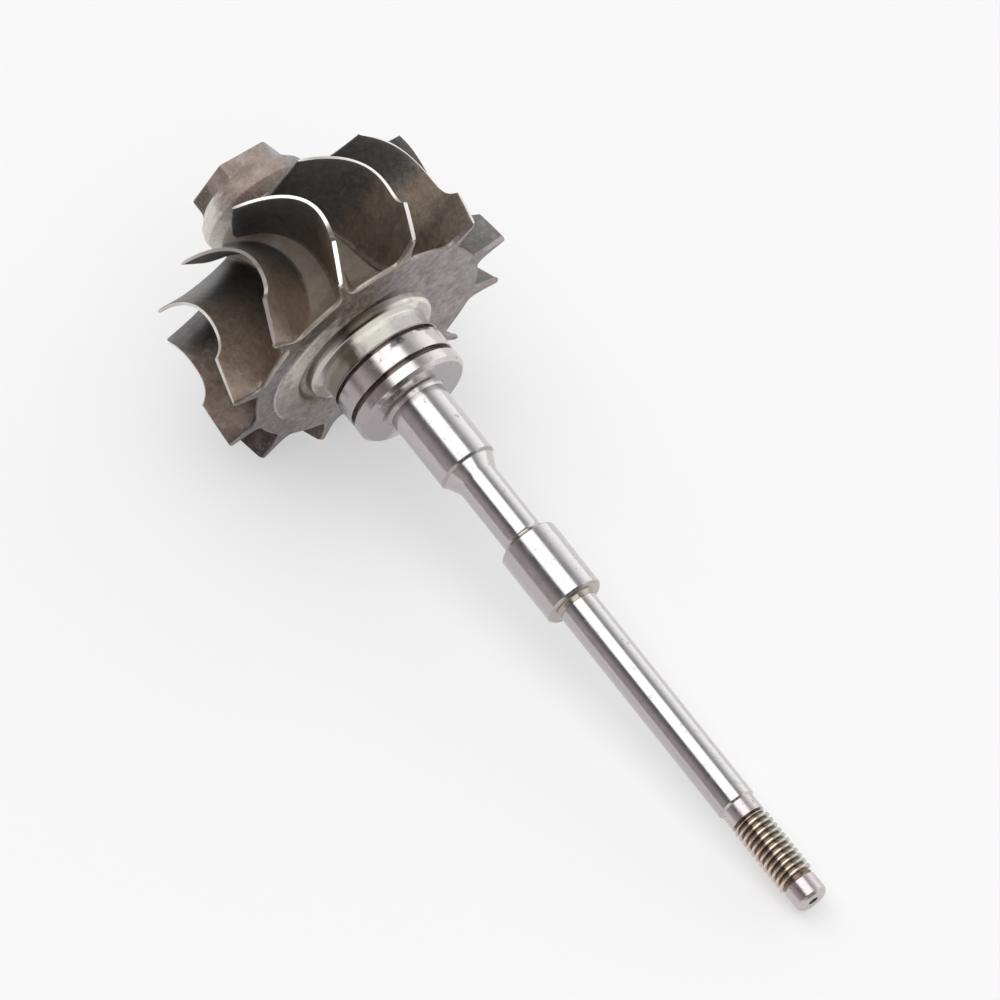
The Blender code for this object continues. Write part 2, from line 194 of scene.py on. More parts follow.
# %% [markdown]
# ## The lathe
# Everything behind the wheel was turned. A lathe piece is an outline of corners carried round the
# axis. The Spin tool or a Screw modifier would do that too, but not the corners: a real corner is
# never knife sharp, because the tool leaves a small radius inside, and a file or the grinding
# wheel breaks it outside. So a corner here has a third number, its rounding, and becomes an arc
# that touches both sides. Straight stretches get a point close to each end, which keeps smooth
# shading from bending the light on a flat or a cylinder.

# %% Rounded corners
ARC_STEPS = 6


def unit(vector):
    """The vector divided by its length."""
    return vector / np.linalg.norm(vector)


def rounded_corner(before, corner, after):
    """Points of the arc that touches both sides of a corner (station, radius, rounding).

    The arc's centre lies on the bisector, at a distance of the rounding over the sine of half the
    corner's angle. Its points turn evenly from one touching point to the other.
    """
    back = unit(before[:2] - corner[:2])
    ahead = unit(after[:2] - corner[:2])
    half = 0.5 * math.acos(np.clip(back @ ahead, -1.0, 1.0))
    centre = corner[:2] + unit(back + ahead) * corner[2] / math.sin(half)
    reach = corner[2] / math.tan(half)
    start = corner[:2] + back * reach - centre
    end = corner[:2] + ahead * reach - centre
    sweep = math.pi - 2.0 * half
    share = np.linspace(0.0, 1.0, ARC_STEPS + 1)[:, None]
    turned_points = start * np.sin((1.0 - share) * sweep) + end * np.sin(share * sweep)
    return centre + turned_points / math.sin(sweep)


square = rounded_corner(np.zeros(3), np.array([1.0, 0.0, 0.1]), np.array([1.0, 1.0, 0.0]))
print("a rounding of 0.1 on a square corner touches at", square[[0, -1]].round(3).tolist())

# %% Outlines and turned pieces
SUPPORT = 0.04


def lathe_outline(corners):
    """Stations and radii of a turned outline, with arcs at its rounded corners.

    Each stretch also gets a point just inside both of its ends.
    """
    corners = np.array([(*corner, 0.0)[:3] for corner in corners], float)
    stretches = [corners[:1, :2]]
    for before, corner, after in zip(corners, corners[1:], corners[2:]):
        rounded = corner[2] > 0.0
        stretches.append(rounded_corner(before, corner, after) if rounded else corner[None, :2])
    stretches.append(corners[-1:, :2])
    outline = np.concatenate(stretches)
    step = np.diff(outline, axis=0)
    length = np.linalg.norm(step, axis=1)
    inward = step * np.clip(SUPPORT / length, 0.0, 0.25)[:, None]
    full = np.stack([outline[:-1], outline[:-1] + inward, outline[1:] - inward], axis=1).reshape(-1, 2)
    return np.concatenate([full, outline[-1:]])


def turned(node, corners, sides, finishes, rough_part=None):
    """A lathe piece: the outline's first and last points are the rings that close on the axis.

    Rows whose middle lies in the rough part, a range of stations, take the second finish.
    """
    outline = lathe_outline(corners)
    row_finish = None
    if rough_part is not None:
        middle = 0.5 * (outline[:-1, 0] + outline[1:, 0])
        row_finish = ((middle > rough_part[0]) & (middle < rough_part[1])).astype(int)
    round_piece(node, outline[:, :1], outline[:, 1:], even_angles(sides), finishes, row_finish)


print("a step with one rounded corner has", len(lathe_outline([(0, 1), (1, 1, 0.1), (1, 2)])), "points")

# %% [markdown]
# ## Metals
# The rotor shows a few finishes of two metals. The wheel is a nickel alloy as cast: dark, brown
# and finely grained, and bright only where a tool has cut it. The shaft is steel: ground on its
# running surfaces, turned at the boss, and oxidised in the thread. Pictures of such metals could
# be wrapped round the pieces, but they blur close up. Here each finish is one Principled shader
# with patterns made by nodes. Bare metal has metallic at one. The casting's skin has a little
# less, because it is partly oxide, and the weathered neck has nearly none. The patterns read
# object coordinates turned into the rotor's own axes, so turning marks run round the shaft and
# the casting's grain stays the same size everywhere.

# %% Adding nodes
def is_socket(value):
    """Whether the value is a socket of another node, and not a number or a colour."""
    return isinstance(value, bpy.types.NodeSocket)


def add(tree, kind, inputs=None, **settings):
    """Adds a node. Inputs are values, or sockets of other nodes to link."""
    node = tree.nodes.new(kind)
    for name, value in settings.items():
        setattr(node, name, value)
    for key, value in (inputs or {}).items():
        if is_socket(value):
            tree.links.new(value, node.inputs[key])
        else:
            node.inputs[key].default_value = value
    return node


def math_node(tree, operation, first, second=0.0):
    """One sum of two numbers or sockets."""
    return add(tree, "ShaderNodeMath", {0: first, 1: second}, operation=operation).outputs[0]


def mix(tree, share, first, second):
    """A colour between two colours, each a socket or three numbers."""
    inputs = {0: share}
    for key, colour in ((6, first), (7, second)):
        inputs[key] = colour if is_socket(colour) else (*colour, 1.0)
    return add(tree, "ShaderNodeMix", inputs, data_type="RGBA").outputs[2]


print("is a plain number a socket:", is_socket(0.5))

# %% The rotor's own axes
def rotor_point(tree):
    """The point in the rotor's axes, in millimetres: X is the station, Y and Z lie across."""
    here = add(tree, "ShaderNodeTexCoord").outputs["Object"]
    inputs = {"Vector": here, "Location": ORIGIN, "Rotation": (0.0, DIP, 0.0), "Scale": (MM, MM, MM)}
    return add(tree, "ShaderNodeMapping", inputs, vector_type="TEXTURE").outputs[0]


def split(tree, point):
    """Station, the two numbers across, and the distance from the axis."""
    x, y, z = add(tree, "ShaderNodeSeparateXYZ", {0: point}).outputs
    flat = add(tree, "ShaderNodeCombineXYZ", {1: y, 2: z}).outputs[0]
    out = add(tree, "ShaderNodeVectorMath", {0: flat}, operation="LENGTH").outputs["Value"]
    return x, y, z, out


print("patterns are measured from", ORIGIN.round(4), "along an axis that dips", round(DIP, 4), "radians")

# %% Noise and ramps
def noise(tree, vector, scale, detail=3.0, roughness=0.55):
    """Noise between 0 and 1 whose lumps are one over scale millimetres long."""
    inputs = {"Vector": vector, "Scale": scale, "Detail": detail, "Roughness": roughness}
    return add(tree, "ShaderNodeTexNoise", inputs).outputs["Fac"]


def ramp(tree, value, low, high, to_low=0.0, to_high=1.0):
    """The value rescaled from one range to another, smoothly, and held at the ends."""
    inputs = {"Value": value, "From Min": low, "From Max": high, "To Min": to_low, "To Max": to_high}
    return add(tree, "ShaderNodeMapRange", inputs, interpolation_type="SMOOTHSTEP").outputs[0]


def between(tree, value, low, high, soft):
    """1 where the value lies between two limits and 0 outside them, with soft borders."""
    rise = ramp(tree, value, low - soft, low + soft)
    fall = ramp(tree, value, high - soft, high + soft, 1.0, 0.0)
    return math_node(tree, "MULTIPLY", rise, fall)


print("noise at a scale of 2 has lumps of", 1.0 / 2.0, "mm")

# %% [markdown]
# ## Stains and painted light
# Heat, oil and soot have tinted the rotor unevenly, and it is browner on one side. Other patches
# are painted light and shade: highlights, dark reflections, and shade in the grooves, the trench
# and the corners. A hand could paint all that on a map, but a patch with a place can be read and
# moved. Here a patch is a colour on a side of the rotor, on a range of stations, or on a range of
# distances from the axis. Noise makes its border ragged.
#
# A side is given as two angles, its middle and its half width, in degrees. A middle of 0 looks
# straight up, and positive ones look to the side that is on the left in the photo.

# %% Sides, stains and painted light
RAGGED_SCALE = 0.6


def towards(tree, point, middle, half_width, soft, ragged):
    """1 on one side of the rotor and 0 elsewhere: the angle about the axis away from the middle.

    The border is soft, and noise moves it in and out. All four numbers are in degrees.
    """
    x, y, z, out = split(tree, point)
    turn = math.radians(middle)
    part_y = math_node(tree, "MULTIPLY", y, -math.sin(turn))
    part_z = math_node(tree, "MULTIPLY", z, math.cos(turn))
    cosine = math_node(tree, "DIVIDE", math_node(tree, "ADD", part_y, part_z), out)
    away = math_node(tree, "ARCCOSINE", cosine)
    reach = math.radians(ragged)
    shift = ramp(tree, noise(tree, point, RAGGED_SCALE, 4.0), 0.2, 0.8, -reach, reach)
    moved = math_node(tree, "ADD", away, shift)
    return ramp(tree, moved, math.radians(half_width - soft), math.radians(half_width + soft), 1.0, 0.0)


def stain_and_light(tree, point, tint, colour, side=None, station=None, distance=None, soft=12, ragged=9, blend=0.1):
    """Tints a part of the metal as a stain or as painted light and shade: a side about the axis, a range of
    stations, a range of distances.

    The side is an angle from straight up and a half width. Soft and ragged describe its border,
    also in degrees. Blend is the border of the two ranges, in millimetres.
    """
    x, y, z, out = split(tree, point)
    share = 1.0
    if side is not None:
        share = towards(tree, point, *side, soft, ragged)
    for value, limits in ((x, station), (out, distance)):
        if limits is not None:
            share = math_node(tree, "MULTIPLY", share, between(tree, value, *limits, blend))
    return mix(tree, share, tint, colour)


print("a stain's border moves over about", round(1.0 / RAGGED_SCALE, 1), "mm")

# %% [markdown]
# ## Cast and cut
# Two kinds of surface cover the whole rotor. Investment casting leaves a matt grain with cloudy
# tints, small pale specks and dark pits. Cutting and grinding leave rings round the axis, which
# stretch each reflection across them, and a few spots where oil dried. Each kind is a function,
# so that fourteen finishes need only their colours, a few strengths, and their stains and painted
# light and shade. As many node trees built by hand would say the same less clearly.

# %% Metal and bumps
def metal(name, colour, roughness, metallic=1.0):
    """A metal with the same colour and roughness all over, and its node tree to build on."""
    material = bpy.data.materials.new(name)
    material.use_nodes = True
    tree = material.node_tree
    shader = tree.nodes["Principled BSDF"]
    shader.inputs["Base Color"].default_value = (*colour, 1.0)
    shader.inputs["Metallic"].default_value = metallic
    shader.inputs["Roughness"].default_value = roughness
    return material, tree, shader


def surface(tree, shader, tint, roughness, height, strength, distance):
    """Links the tint and the roughness, and lets a height in millimetres tilt the surface."""
    tree.links.new(tint, shader.inputs["Base Color"])
    tree.links.new(roughness, shader.inputs["Roughness"])
    inputs = {"Height": height, "Strength": strength, "Distance": distance * MM}
    tree.links.new(add(tree, "ShaderNodeBump", inputs).outputs[0], shader.inputs["Normal"])


print("a bump of 1 mm is given to the shader as", MM, "m")

# %% Cast finish
CAST_METALLIC = 0.75
CLOUD_SCALE = 0.25
RUST_SCALE = 0.2
BLOTCH_SCALE = 0.7
LUMP_SCALE = 0.8
GRAIN_SCALE = 1.9
GRAIN_DEPTH = 0.05
# Dark soot of the grain and mottle, also used as the painted shade in the disc's trench
SOOT_AND_SHADE = (0.05, 0.04, 0.035)
PALE = (0.62, 0.57, 0.52)
RUST = (0.34, 0.255, 0.195)
print("grain of the casting:", round(1.0 / GRAIN_SCALE, 2), "mm, clouds:", 1.0 / CLOUD_SCALE, "mm")


def cast_finish(name, dark, light, roughness, grain=1.0, specks=0.5, rust=0.0, mottle=0.0, stains_and_light=()):
    """Investment casting: a fine grain, slow clouds of tint, and small pale specks.

    More grain also makes it lumpier. Rust is the share of a warmer tint in a second set of clouds.
    Heat and oil tint the casting differently on its sides, which the stains add together with
    painted light and shade, and a mottle of small dark and pale blotches lies over them.
    """
    material, tree, shader = metal(name, dark, roughness, CAST_METALLIC)
    point = rotor_point(tree)
    clouds = ramp(tree, noise(tree, point, CLOUD_SCALE, 7.0, 0.72), 0.34, 0.66)
    fine = noise(tree, point, GRAIN_SCALE, 5.0, 0.78)
    tint = mix(tree, clouds, dark, light)
    if rust > 0.0:
        tint = mix(tree, ramp(tree, noise(tree, point, RUST_SCALE), 0.42, 0.66, 0.0, rust), tint, RUST)
    for patch in stains_and_light:
        tint = stain_and_light(tree, point, tint, **patch)
    if mottle > 0.0:
        blotches = noise(tree, point, BLOTCH_SCALE, 6.0, 0.7)
        tint = mix(tree, ramp(tree, blotches, 0.5, 0.36, 0.0, mottle), tint, SOOT_AND_SHADE)
        tint = mix(tree, ramp(tree, blotches, 0.5, 0.64, 0.0, 0.6 * mottle), tint, PALE)
    tint = mix(tree, ramp(tree, fine, 0.54, 0.72, 0.0, specks), tint, PALE)
    tint = mix(tree, ramp(tree, fine, 0.5, 0.3, 0.0, 0.25 * grain), tint, SOOT_AND_SHADE)
    gloss = ramp(tree, fine, 0.3, 0.7, roughness - 0.08, roughness + 0.1)
    lumps = math_node(tree, "MULTIPLY", noise(tree, point, LUMP_SCALE, 4.0), grain)
    surface(tree, shader, tint, gloss, math_node(tree, "ADD", fine, lumps), 0.6, GRAIN_DEPTH * grain)
    print(f"{name}: {len(stains_and_light)} stains, {len(tree.nodes)} nodes")
    return material


# %% Cut finish
SPOT_SCALE = 1.1
GLOSS_SCALE = 0.5
PIT_SCALE = 2.4
RING_SLOWNESS = 0.03
DRIED_OIL = (0.2, 0.17, 0.12)
print("spots on cut metal:", round(1.0 / SPOT_SCALE, 2), "mm, pits:", round(1.0 / PIT_SCALE, 2), "mm")


def lathe_marks(tree, point, scale):
    """Fine rings that a tool leaves: noise along the outline that barely changes going round."""
    x, y, z, out = split(tree, point)
    along = math_node(tree, "ADD", x, math_node(tree, "MULTIPLY", out, 0.5))
    slow_y = math_node(tree, "MULTIPLY", y, RING_SLOWNESS)
    slow_z = math_node(tree, "MULTIPLY", z, RING_SLOWNESS)
    vector = add(tree, "ShaderNodeCombineXYZ", {0: along, 1: slow_y, 2: slow_z}).outputs[0]
    return noise(tree, vector, scale, 4.0, 0.7)


def cut_finish(name, colour, roughness, ring_scale, ring_depth, spots=0.0, spot_colour=DRIED_OIL,
               pits=0.0, stains_and_light=(), metallic=1.0):
    """Turned or ground metal: rings round the axis, a slow change of gloss, and a few spots.

    Stains and painted light and shade tint it as on a casting. Pits roughen it with a finer pattern, as
    where it has corroded.
    """
    material, tree, shader = metal(name, colour, roughness, metallic)
    point = rotor_point(tree)
    rings = lathe_marks(tree, point, ring_scale)
    spotted = ramp(tree, noise(tree, point, SPOT_SCALE, 5.0, 0.7), 0.58, 0.68, 0.0, spots)
    tint = mix(tree, spotted, colour, spot_colour)
    for patch in stains_and_light:
        tint = stain_and_light(tree, point, tint, **patch)
    slow = ramp(tree, noise(tree, point, GLOSS_SCALE), 0.3, 0.7, -0.02, 0.04)
    gloss = math_node(tree, "ADD", slow, roughness)
    gloss = math_node(tree, "ADD", gloss, math_node(tree, "MULTIPLY", spotted, 0.25))
    gloss = math_node(tree, "ADD", gloss, ramp(tree, rings, 0.3, 0.7, -0.03, 0.03))
    height = rings
    if pits > 0.0:
        grain = noise(tree, point, PIT_SCALE, 5.0, 0.75)
        height = math_node(tree, "ADD", rings, math_node(tree, "MULTIPLY", grain, pits))
        tint = mix(tree, ramp(tree, grain, 0.44, 0.3, 0.0, min(0.7, 0.5 * pits)), tint, spot_colour)
    surface(tree, shader, tint, gloss, height, 0.25, ring_depth)
    print(f"{name}: {len(stains_and_light)} stains, {len(tree.nodes)} nodes")
    return material


# %% [markdown]
# ## The hub
# Gas enters the wheel inwards and leaves it along the axis, so between the blades the hub turns a
# quarter: it starts flat against the disc and ends parallel to the axis. A quarter of an ellipse
# does that with two radii. A curve object with a bevel could do it too, but the same formula also
# gives the line that the blades stand on.

# %% Curve of the hub
DISC_EDGE = 0.8
HUB_START_RADIUS = 20.0
HUB_END_RADIUS = 8.4
HUB_END_STATION = -26.0


def hub_curve(share):
    """Station and radius on the hub: a quarter ellipse from the disc's face (0) to the outlet (1)."""
    turn = share * 0.5 * np.pi
    station = HUB_END_STATION + (-DISC_EDGE - HUB_END_STATION) * np.cos(turn)
    radius = HUB_START_RADIUS - (HUB_START_RADIUS - HUB_END_RADIUS) * np.sin(turn)
    return station, radius


print("halfway, the hub is at", [round(float(v), 2) for v in hub_curve(0.5)])

# %% Hub
HUB_ROWS = 49
WHEEL_SIDES = 144
hub_stains = [
    # Brown on the left, towards the collar
    dict(colour=(0.20, 0.165, 0.145), side=(78, 46), station=(-26.5, -20.0), blend=2.0),
]
hub_cast = cast_finish("hub_cast", dark=(0.38, 0.325, 0.275), light=(0.52, 0.445, 0.37), roughness=0.5,
                       specks=0.35, rust=0.2, stains_and_light=hub_stains)
hub_station, hub_radius = hub_curve(np.linspace(0.0, 1.0, HUB_ROWS))
round_piece("wheel_hub", hub_station[:, None], hub_radius[:, None], even_angles(WHEEL_SIDES),
            [hub_cast])

# %% [markdown]
# ## The scalloped disc
# The disc is cut back between the blades to save weight, so its rim runs out to a point behind
# each blade and in to a round valley between two. Twelve cylinders could be cut out of a disc, but
# the cut edges would then need rounding. Here the outline is a radius for each angle: the valley,
# plus a narrow peak at each blade. The back has a low ring and a relief round the weld, which a
# cutter slightly out of true has left deeper on one side. Going out along a ray, the surface runs
# over the back, round the rim and in along the front.

# %% Rim of the disc
VALLEY_RADIUS = 20.6
LOBE_FLAT = 0.0198
LOBE_WIDTH = 0.0335
LOBE_SHARPNESS = 0.83


def rim_radius(angle):
    """The disc's rim: the valley's radius plus a blunt peak that falls off away from a blade.

    The peak is flat over a small share of the pitch. Beyond, it is the exponential of minus a
    power of the distance.
    """
    share = np.maximum(np.abs((angle / BLADE_PITCH + 0.5) % 1.0 - 0.5) - LOBE_FLAT, 0.0)
    peak = np.exp(-((share / LOBE_WIDTH) ** LOBE_SHARPNESS))
    return VALLEY_RADIUS + (TIP_RADIUS - VALLEY_RADIUS) * peak


def lobe_half_width(radius):
    """Half the lobe's width at a radius, in millimetres: the rim's formula solved for the angle."""
    height = np.clip((radius - VALLEY_RADIUS) / (TIP_RADIUS - VALLEY_RADIUS), 0.01, 1.0)
    share = LOBE_FLAT + LOBE_WIDTH * (-np.log(height)) ** (1.0 / LOBE_SHARPNESS)
    return share * BLADE_PITCH * radius


print("a lobe is", round(2.0 * float(lobe_half_width(24.0)), 2), "mm wide at a radius of 24 mm")

# %% Ring and trench on its back
RING_OUTER = 17.5
RING_HEIGHT = 0.4
RING_SHOULDER = 1.3
RING_CREST = 13.6
CREST_SLOPE = 2.0
TRENCH_OUTER = 13.3
TRENCH_INNER = 11.3
TRENCH_SLOPE = 1.1
TRENCH_LIP = 0.4
TRENCH_DEPTH = 0.45
RELIEF_DEPTH = 0.3
RING_SIDE = math.radians(75.0)
TRENCH_SIDE = math.radians(70.0)


def smooth_step(value, low, high):
    """0 at low, 1 at high, and between them three squares less two cubes of the share of the way.

    Low may be the larger of the two.
    """
    share = np.clip((value - low) / (high - low), 0.0, 1.0)
    return share * share * (3.0 - 2.0 * share)


def back_station(radius, angle):
    """The disc's back: flat outside, up to the ring's crest, down a trench and up to the weld.

    Both are full on one side and fade to nothing as the cosine to that side falls.
    """
    outer = smooth_step(radius, RING_OUTER + 0.1, RING_OUTER - RING_SHOULDER)
    crest = 0.7 + 0.3 * smooth_step(radius, RING_CREST + CREST_SLOPE, RING_CREST)
    ring = RING_HEIGHT * smooth_step(np.cos(angle - RING_SIDE), 0.0, 0.5) * outer * crest
    drop = smooth_step(radius, TRENCH_OUTER, TRENCH_OUTER - TRENCH_SLOPE)
    back_up = smooth_step(radius, TRENCH_INNER + TRENCH_LIP, TRENCH_INNER)
    trench = drop * TRENCH_DEPTH - back_up * (TRENCH_DEPTH - RELIEF_DEPTH)
    return ring * (1.0 - drop) - trench * smooth_step(np.cos(angle - TRENCH_SIDE), 0.0, 0.7)


print("the trench goes down to", round(float(back_station(12.0, TRENCH_SIDE)), 2), "mm")

# %% Finishes of the disc
disc_stains_and_light = [
    # The flat back: olive above, mauve on the left
    dict(colour=(0.115, 0.095, 0.07), side=(25, 33), soft=22),
    dict(colour=(0.19, 0.16, 0.17), side=(104, 44), soft=18),
    # The ring: grey on the left, darker below that, a painted highlight on its crest above, and a painted
    # highlight along its outer shoulder
    dict(colour=(0.33, 0.30, 0.275), side=(85, 26), distance=(TRENCH_OUTER, RING_OUTER), soft=14),
    dict(colour=(0.235, 0.21, 0.20), side=(128, 20), distance=(TRENCH_OUTER, 17.2), soft=10),
    dict(colour=(0.66, 0.61, 0.56), side=(52, 24), distance=(TRENCH_OUTER, 16.9), soft=15, blend=0.4),
    dict(colour=(0.50, 0.46, 0.44), side=(92, 22), distance=(17.15, RING_OUTER), soft=10),
    # Painted shade in the trench: brownish on the left, a dark line on its outer slope, and darkest above
    dict(colour=(0.26, 0.225, 0.19), side=(95, 60), distance=(10.0, 13.1), soft=20, blend=0.2),
    dict(colour=(0.09, 0.075, 0.06), side=(60, 70), distance=(12.25, 12.9), soft=20, blend=0.25),
    dict(colour=SOOT_AND_SHADE, side=(16, 34), distance=(10.0, 13.2), soft=14, blend=0.2),
]
disc_cast = cast_finish("disc_cast", dark=(0.25, 0.213, 0.222), light=(0.365, 0.327, 0.334), roughness=0.45,
                        grain=1.6, specks=0.45, mottle=0.35, stains_and_light=disc_stains_and_light)
rim_stains = [
    # Darker on the right and on the lower left
    dict(colour=(0.29, 0.25, 0.26), side=(-85, 60)),
    dict(colour=(0.215, 0.19, 0.195), side=(112, 44)),
]
rim_cast = cast_finish("rim_cast", dark=(0.35, 0.31, 0.26), light=(0.47, 0.42, 0.36), roughness=0.38,
                       stains_and_light=rim_stains)

# %% Disc
RIM_ROUND = 0.38
DISC_COLUMNS = 40
RAY_CROWDING = 1.8
DISC_BORE = 9.0
FRONT_RADIUS = 19.5
# Radius from, radius to and rows, closer together where the back bends
BACK_ROWS = [(DISC_BORE, 11.2, 3), (11.3, 13.4, 22), (13.7, 15.9, 6), (16.1, 17.7, 12)]


def disc_rays():
    """Angles of the rays: even steps raised to a power, which crowds them where the rim turns."""
    spread = np.linspace(-1.0, 1.0, DISC_COLUMNS, endpoint=False)
    share = 0.5 * np.sign(spread) * np.abs(spread) ** RAY_CROWDING
    return ((np.arange(BLADE_COUNT)[:, None] + share[None, :]) * BLADE_PITCH).reshape(1, -1)


def disc():
    """The disc on a grid of rays and rows.

    Rows on the back keep their radius where it bends and share out the way to the rim beyond. The
    rim is two quarter circles, and two rows close the front.
    """
    rays = disc_rays()
    rim = rim_radius(rays)
    inner_rows = np.concatenate([np.linspace(*rows) for rows in BACK_ROWS])[:, None]
    outer_share = np.linspace(0.15, 1.0, 10)[:, None]
    outer_rows = inner_rows[-1] + (rim - RIM_ROUND - inner_rows[-1]) * outer_share
    back_radius = np.concatenate([inner_rows + 0.0 * rim, outer_rows])
    turn = np.linspace(0.0, 0.5 * np.pi, 7)[:, None] + 0.0 * rim
    front_radius = np.array([FRONT_RADIUS, DISC_BORE])[:, None] + 0.0 * rim
    radii = [back_radius, rim - RIM_ROUND * (1.0 - np.sin(turn)), rim - RIM_ROUND * (1.0 - np.cos(turn)),
             front_radius]
    angles = rays + FIRST_BLADE_ANGLE
    stations = [back_station(back_radius, angles), -RIM_ROUND * (1.0 - np.cos(turn)),
                -DISC_EDGE + RIM_ROUND * (1.0 - np.sin(turn)), np.full(front_radius.shape, -DISC_EDGE)]
    row_finish = np.zeros(len(back_radius) + 2 * len(turn) + len(front_radius) - 1, int)
    row_finish[len(back_radius):len(back_radius) + 2 * len(turn)] = 1
    round_piece("back_disc", np.concatenate(stations), np.concatenate(radii), angles,
                [disc_cast, rim_cast], row_finish)


disc()

# %% [markdown]
# ## The blades
# A blade's middle surface is made of radial lines, as on nearly every small turbine wheel: at one
# station all its points have the same angle. That angle is a steady lean plus a curl that only
# bites near the outlet. A plane that is bent and given a Solidify modifier comes close, but it
# can't follow both the hub and the housing. Here the sheet spans from its root, on the lobe and
# then on the hub, to its rim, which a tool has turned to the shape of the housing. Then it is
# given its thickness along its own normals, with a fillet at the root. The rim and the inlet edge
# get the bright cut finish.

# %% Middle surface of a blade
LEAN = math.radians(1.144)
CURL = math.radians(32.6)
CURL_REACH = 21.0
CURL_POWER = 4.72
KINK_STATION = -6.77
KINK_RADIUS = 25.89
SHROUD_RADIUS = 23.5
SHROUD_BLEND = 1.35
OUTLET_STATION = -21.63
ROOT_END_STATION = -24.9
LOBE_SHARE = 0.22
ROOT_SINK = 0.4


def camber(station):
    """Angle of the middle surface: it falls with the depth, and curls back near the outlet.

    It is minus the lean for each millimetre of depth, plus the curl times a high power of the
    depth over its reach.
    """
    depth = -station
    return -LEAN * depth + CURL * (np.maximum(depth, 0.0) / CURL_REACH) ** CURL_POWER


def root_line(share):
    """Station and radius of the root: in along the lobe, a little sunk, then along the hub."""
    on_lobe = share < LOBE_SHARE
    along_hub = np.clip((share - LOBE_SHARE) / (1.0 - LOBE_SHARE), 0.0, 1.0)
    hub_station, hub_radius = hub_curve(along_hub)
    lobe_radius = TIP_RADIUS + (HUB_START_RADIUS - TIP_RADIUS) * share / LOBE_SHARE
    sunk = -DISC_EDGE + ROOT_SINK * smooth_step(lobe_radius, HUB_START_RADIUS + 0.3, HUB_START_RADIUS + 1.0)
    station = np.where(on_lobe, sunk, np.maximum(hub_station, ROOT_END_STATION))
    return station, np.where(on_lobe, lobe_radius, hub_radius)


def rim_line(share):
    """Station and radius of the rim: a short step in behind the inlet corner, then straight.

    The step fades exponentially with the distance behind the corner.
    """
    station = KINK_STATION + (OUTLET_STATION - KINK_STATION) * share
    step_in = np.exp((station - KINK_STATION) / SHROUD_BLEND)
    return station, SHROUD_RADIUS + (KINK_RADIUS - SHROUD_RADIUS) * step_in


print("at the outlet a blade has turned by", round(math.degrees(camber(OUTLET_STATION)), 1), "degrees")

# %% Thickness of a blade
OUTLET_BOW = 0.36
RIM_WALL = 0.76
OUTLET_WALL = 0.55
ROOT_WALL = 1.5
# How fast the root's wall gives way to the rim's: it has done so at 1 / 1.5 of the span
ROOT_TAPER = 1.5
INLET_FADE = 0.05
EDGE_BREAK = 0.06
OUTLET_EDGE_WALL = 0.16
FILLET = 1.2
OUTLET_FILLET = 0.6
# Shares of the way from inlet to outlet, and from root to rim, closer together at the edges
CHORD = np.concatenate([[0.0, 0.005], np.linspace(0.01, 0.985, 70), [0.993, 1.0]])[:, None]
SPAN = np.concatenate([0.99 * np.linspace(0.0, 1.0, 27) ** 1.6, [1.0]])[None, :]
print("a blade's grid has", len(CHORD), "by", SPAN.size, "points")


def blade_grid():
    """Middle surface (station, radius) of a blade on the grid, and half its wall.

    The half wall is half the sheet's own wall, and near the root it grows to the lobe's half
    width, or on the hub by a fillet, along a quarter circle. Towards the outlet it thins like the
    end of an ellipse.
    """
    root_station, root_radius = root_line(CHORD)
    rim_station, rim_radius_here = rim_line(CHORD)
    bow = OUTLET_BOW * CHORD**3 * 4.0 * SPAN * (1.0 - SPAN)
    station = root_station + (rim_station - root_station) * SPAN + bow
    radius = root_radius + (rim_radius_here - root_radius) * SPAN
    length = np.hypot(rim_station - root_station, rim_radius_here - root_radius)
    rim_wall = RIM_WALL + (OUTLET_WALL - RIM_WALL) * CHORD
    wall = ROOT_WALL + (rim_wall - ROOT_WALL) * np.minimum(1.0, ROOT_TAPER * SPAN)
    wall = wall + (RIM_WALL - wall) * np.exp(-CHORD / INLET_FADE)
    fillet = FILLET + (OUTLET_FILLET - FILLET) * CHORD
    root_half = np.minimum(lobe_half_width(root_radius), 0.5 * wall[:, :1] + fillet)
    climb = np.clip(1.0 - SPAN * length / fillet, 0.0, 1.0)
    half = 0.5 * wall + (root_half - 0.5 * wall) * (1.0 - np.sqrt(1.0 - climb**2))
    last_span = SPAN[:, -2:-1]
    half = half - EDGE_BREAK * np.clip((SPAN - last_span) / (1.0 - last_span), 0.0, 1.0)
    half = half - EDGE_BREAK * (1.0 - np.minimum(CHORD / CHORD[1], 1.0))
    from_outlet = np.clip((1.0 - CHORD) / (1.0 - CHORD[-4]), 0.0, 1.0)
    edge_half = 0.5 * OUTLET_EDGE_WALL
    return station, radius, edge_half + (half - edge_half) * np.sqrt(1.0 - (1.0 - from_outlet) ** 2)


# %% Finishes of the blades
blade_stains_and_light = [
    # On the inlet's half: paler brown on the left, and on the right a painted light brown where the blades
    # catch the light
    dict(colour=(0.36, 0.28, 0.222), side=(80, 78), station=(-10.0, 0.0), soft=20, blend=4.0),
    dict(colour=(0.33, 0.265, 0.205), side=(-50, 22), station=(-14.5, -8.0), soft=16, blend=2.5),
    # Grey soot towards the outlet and on the right, and painted plum shade underneath
    dict(colour=(0.18, 0.178, 0.178), station=(-30.0, -15.0), blend=2.5),
    dict(colour=(0.17, 0.168, 0.158), side=(-95, 24), soft=8, ragged=4),
    dict(colour=(0.065, 0.048, 0.052), side=(135, 36), soft=22, ragged=5),
]
blade_cast = cast_finish("blade_cast", dark=(0.145, 0.118, 0.098), light=(0.23, 0.19, 0.15), roughness=0.5,
                         grain=1.3, specks=0.3, rust=0.25, mottle=0.2, stains_and_light=blade_stains_and_light)
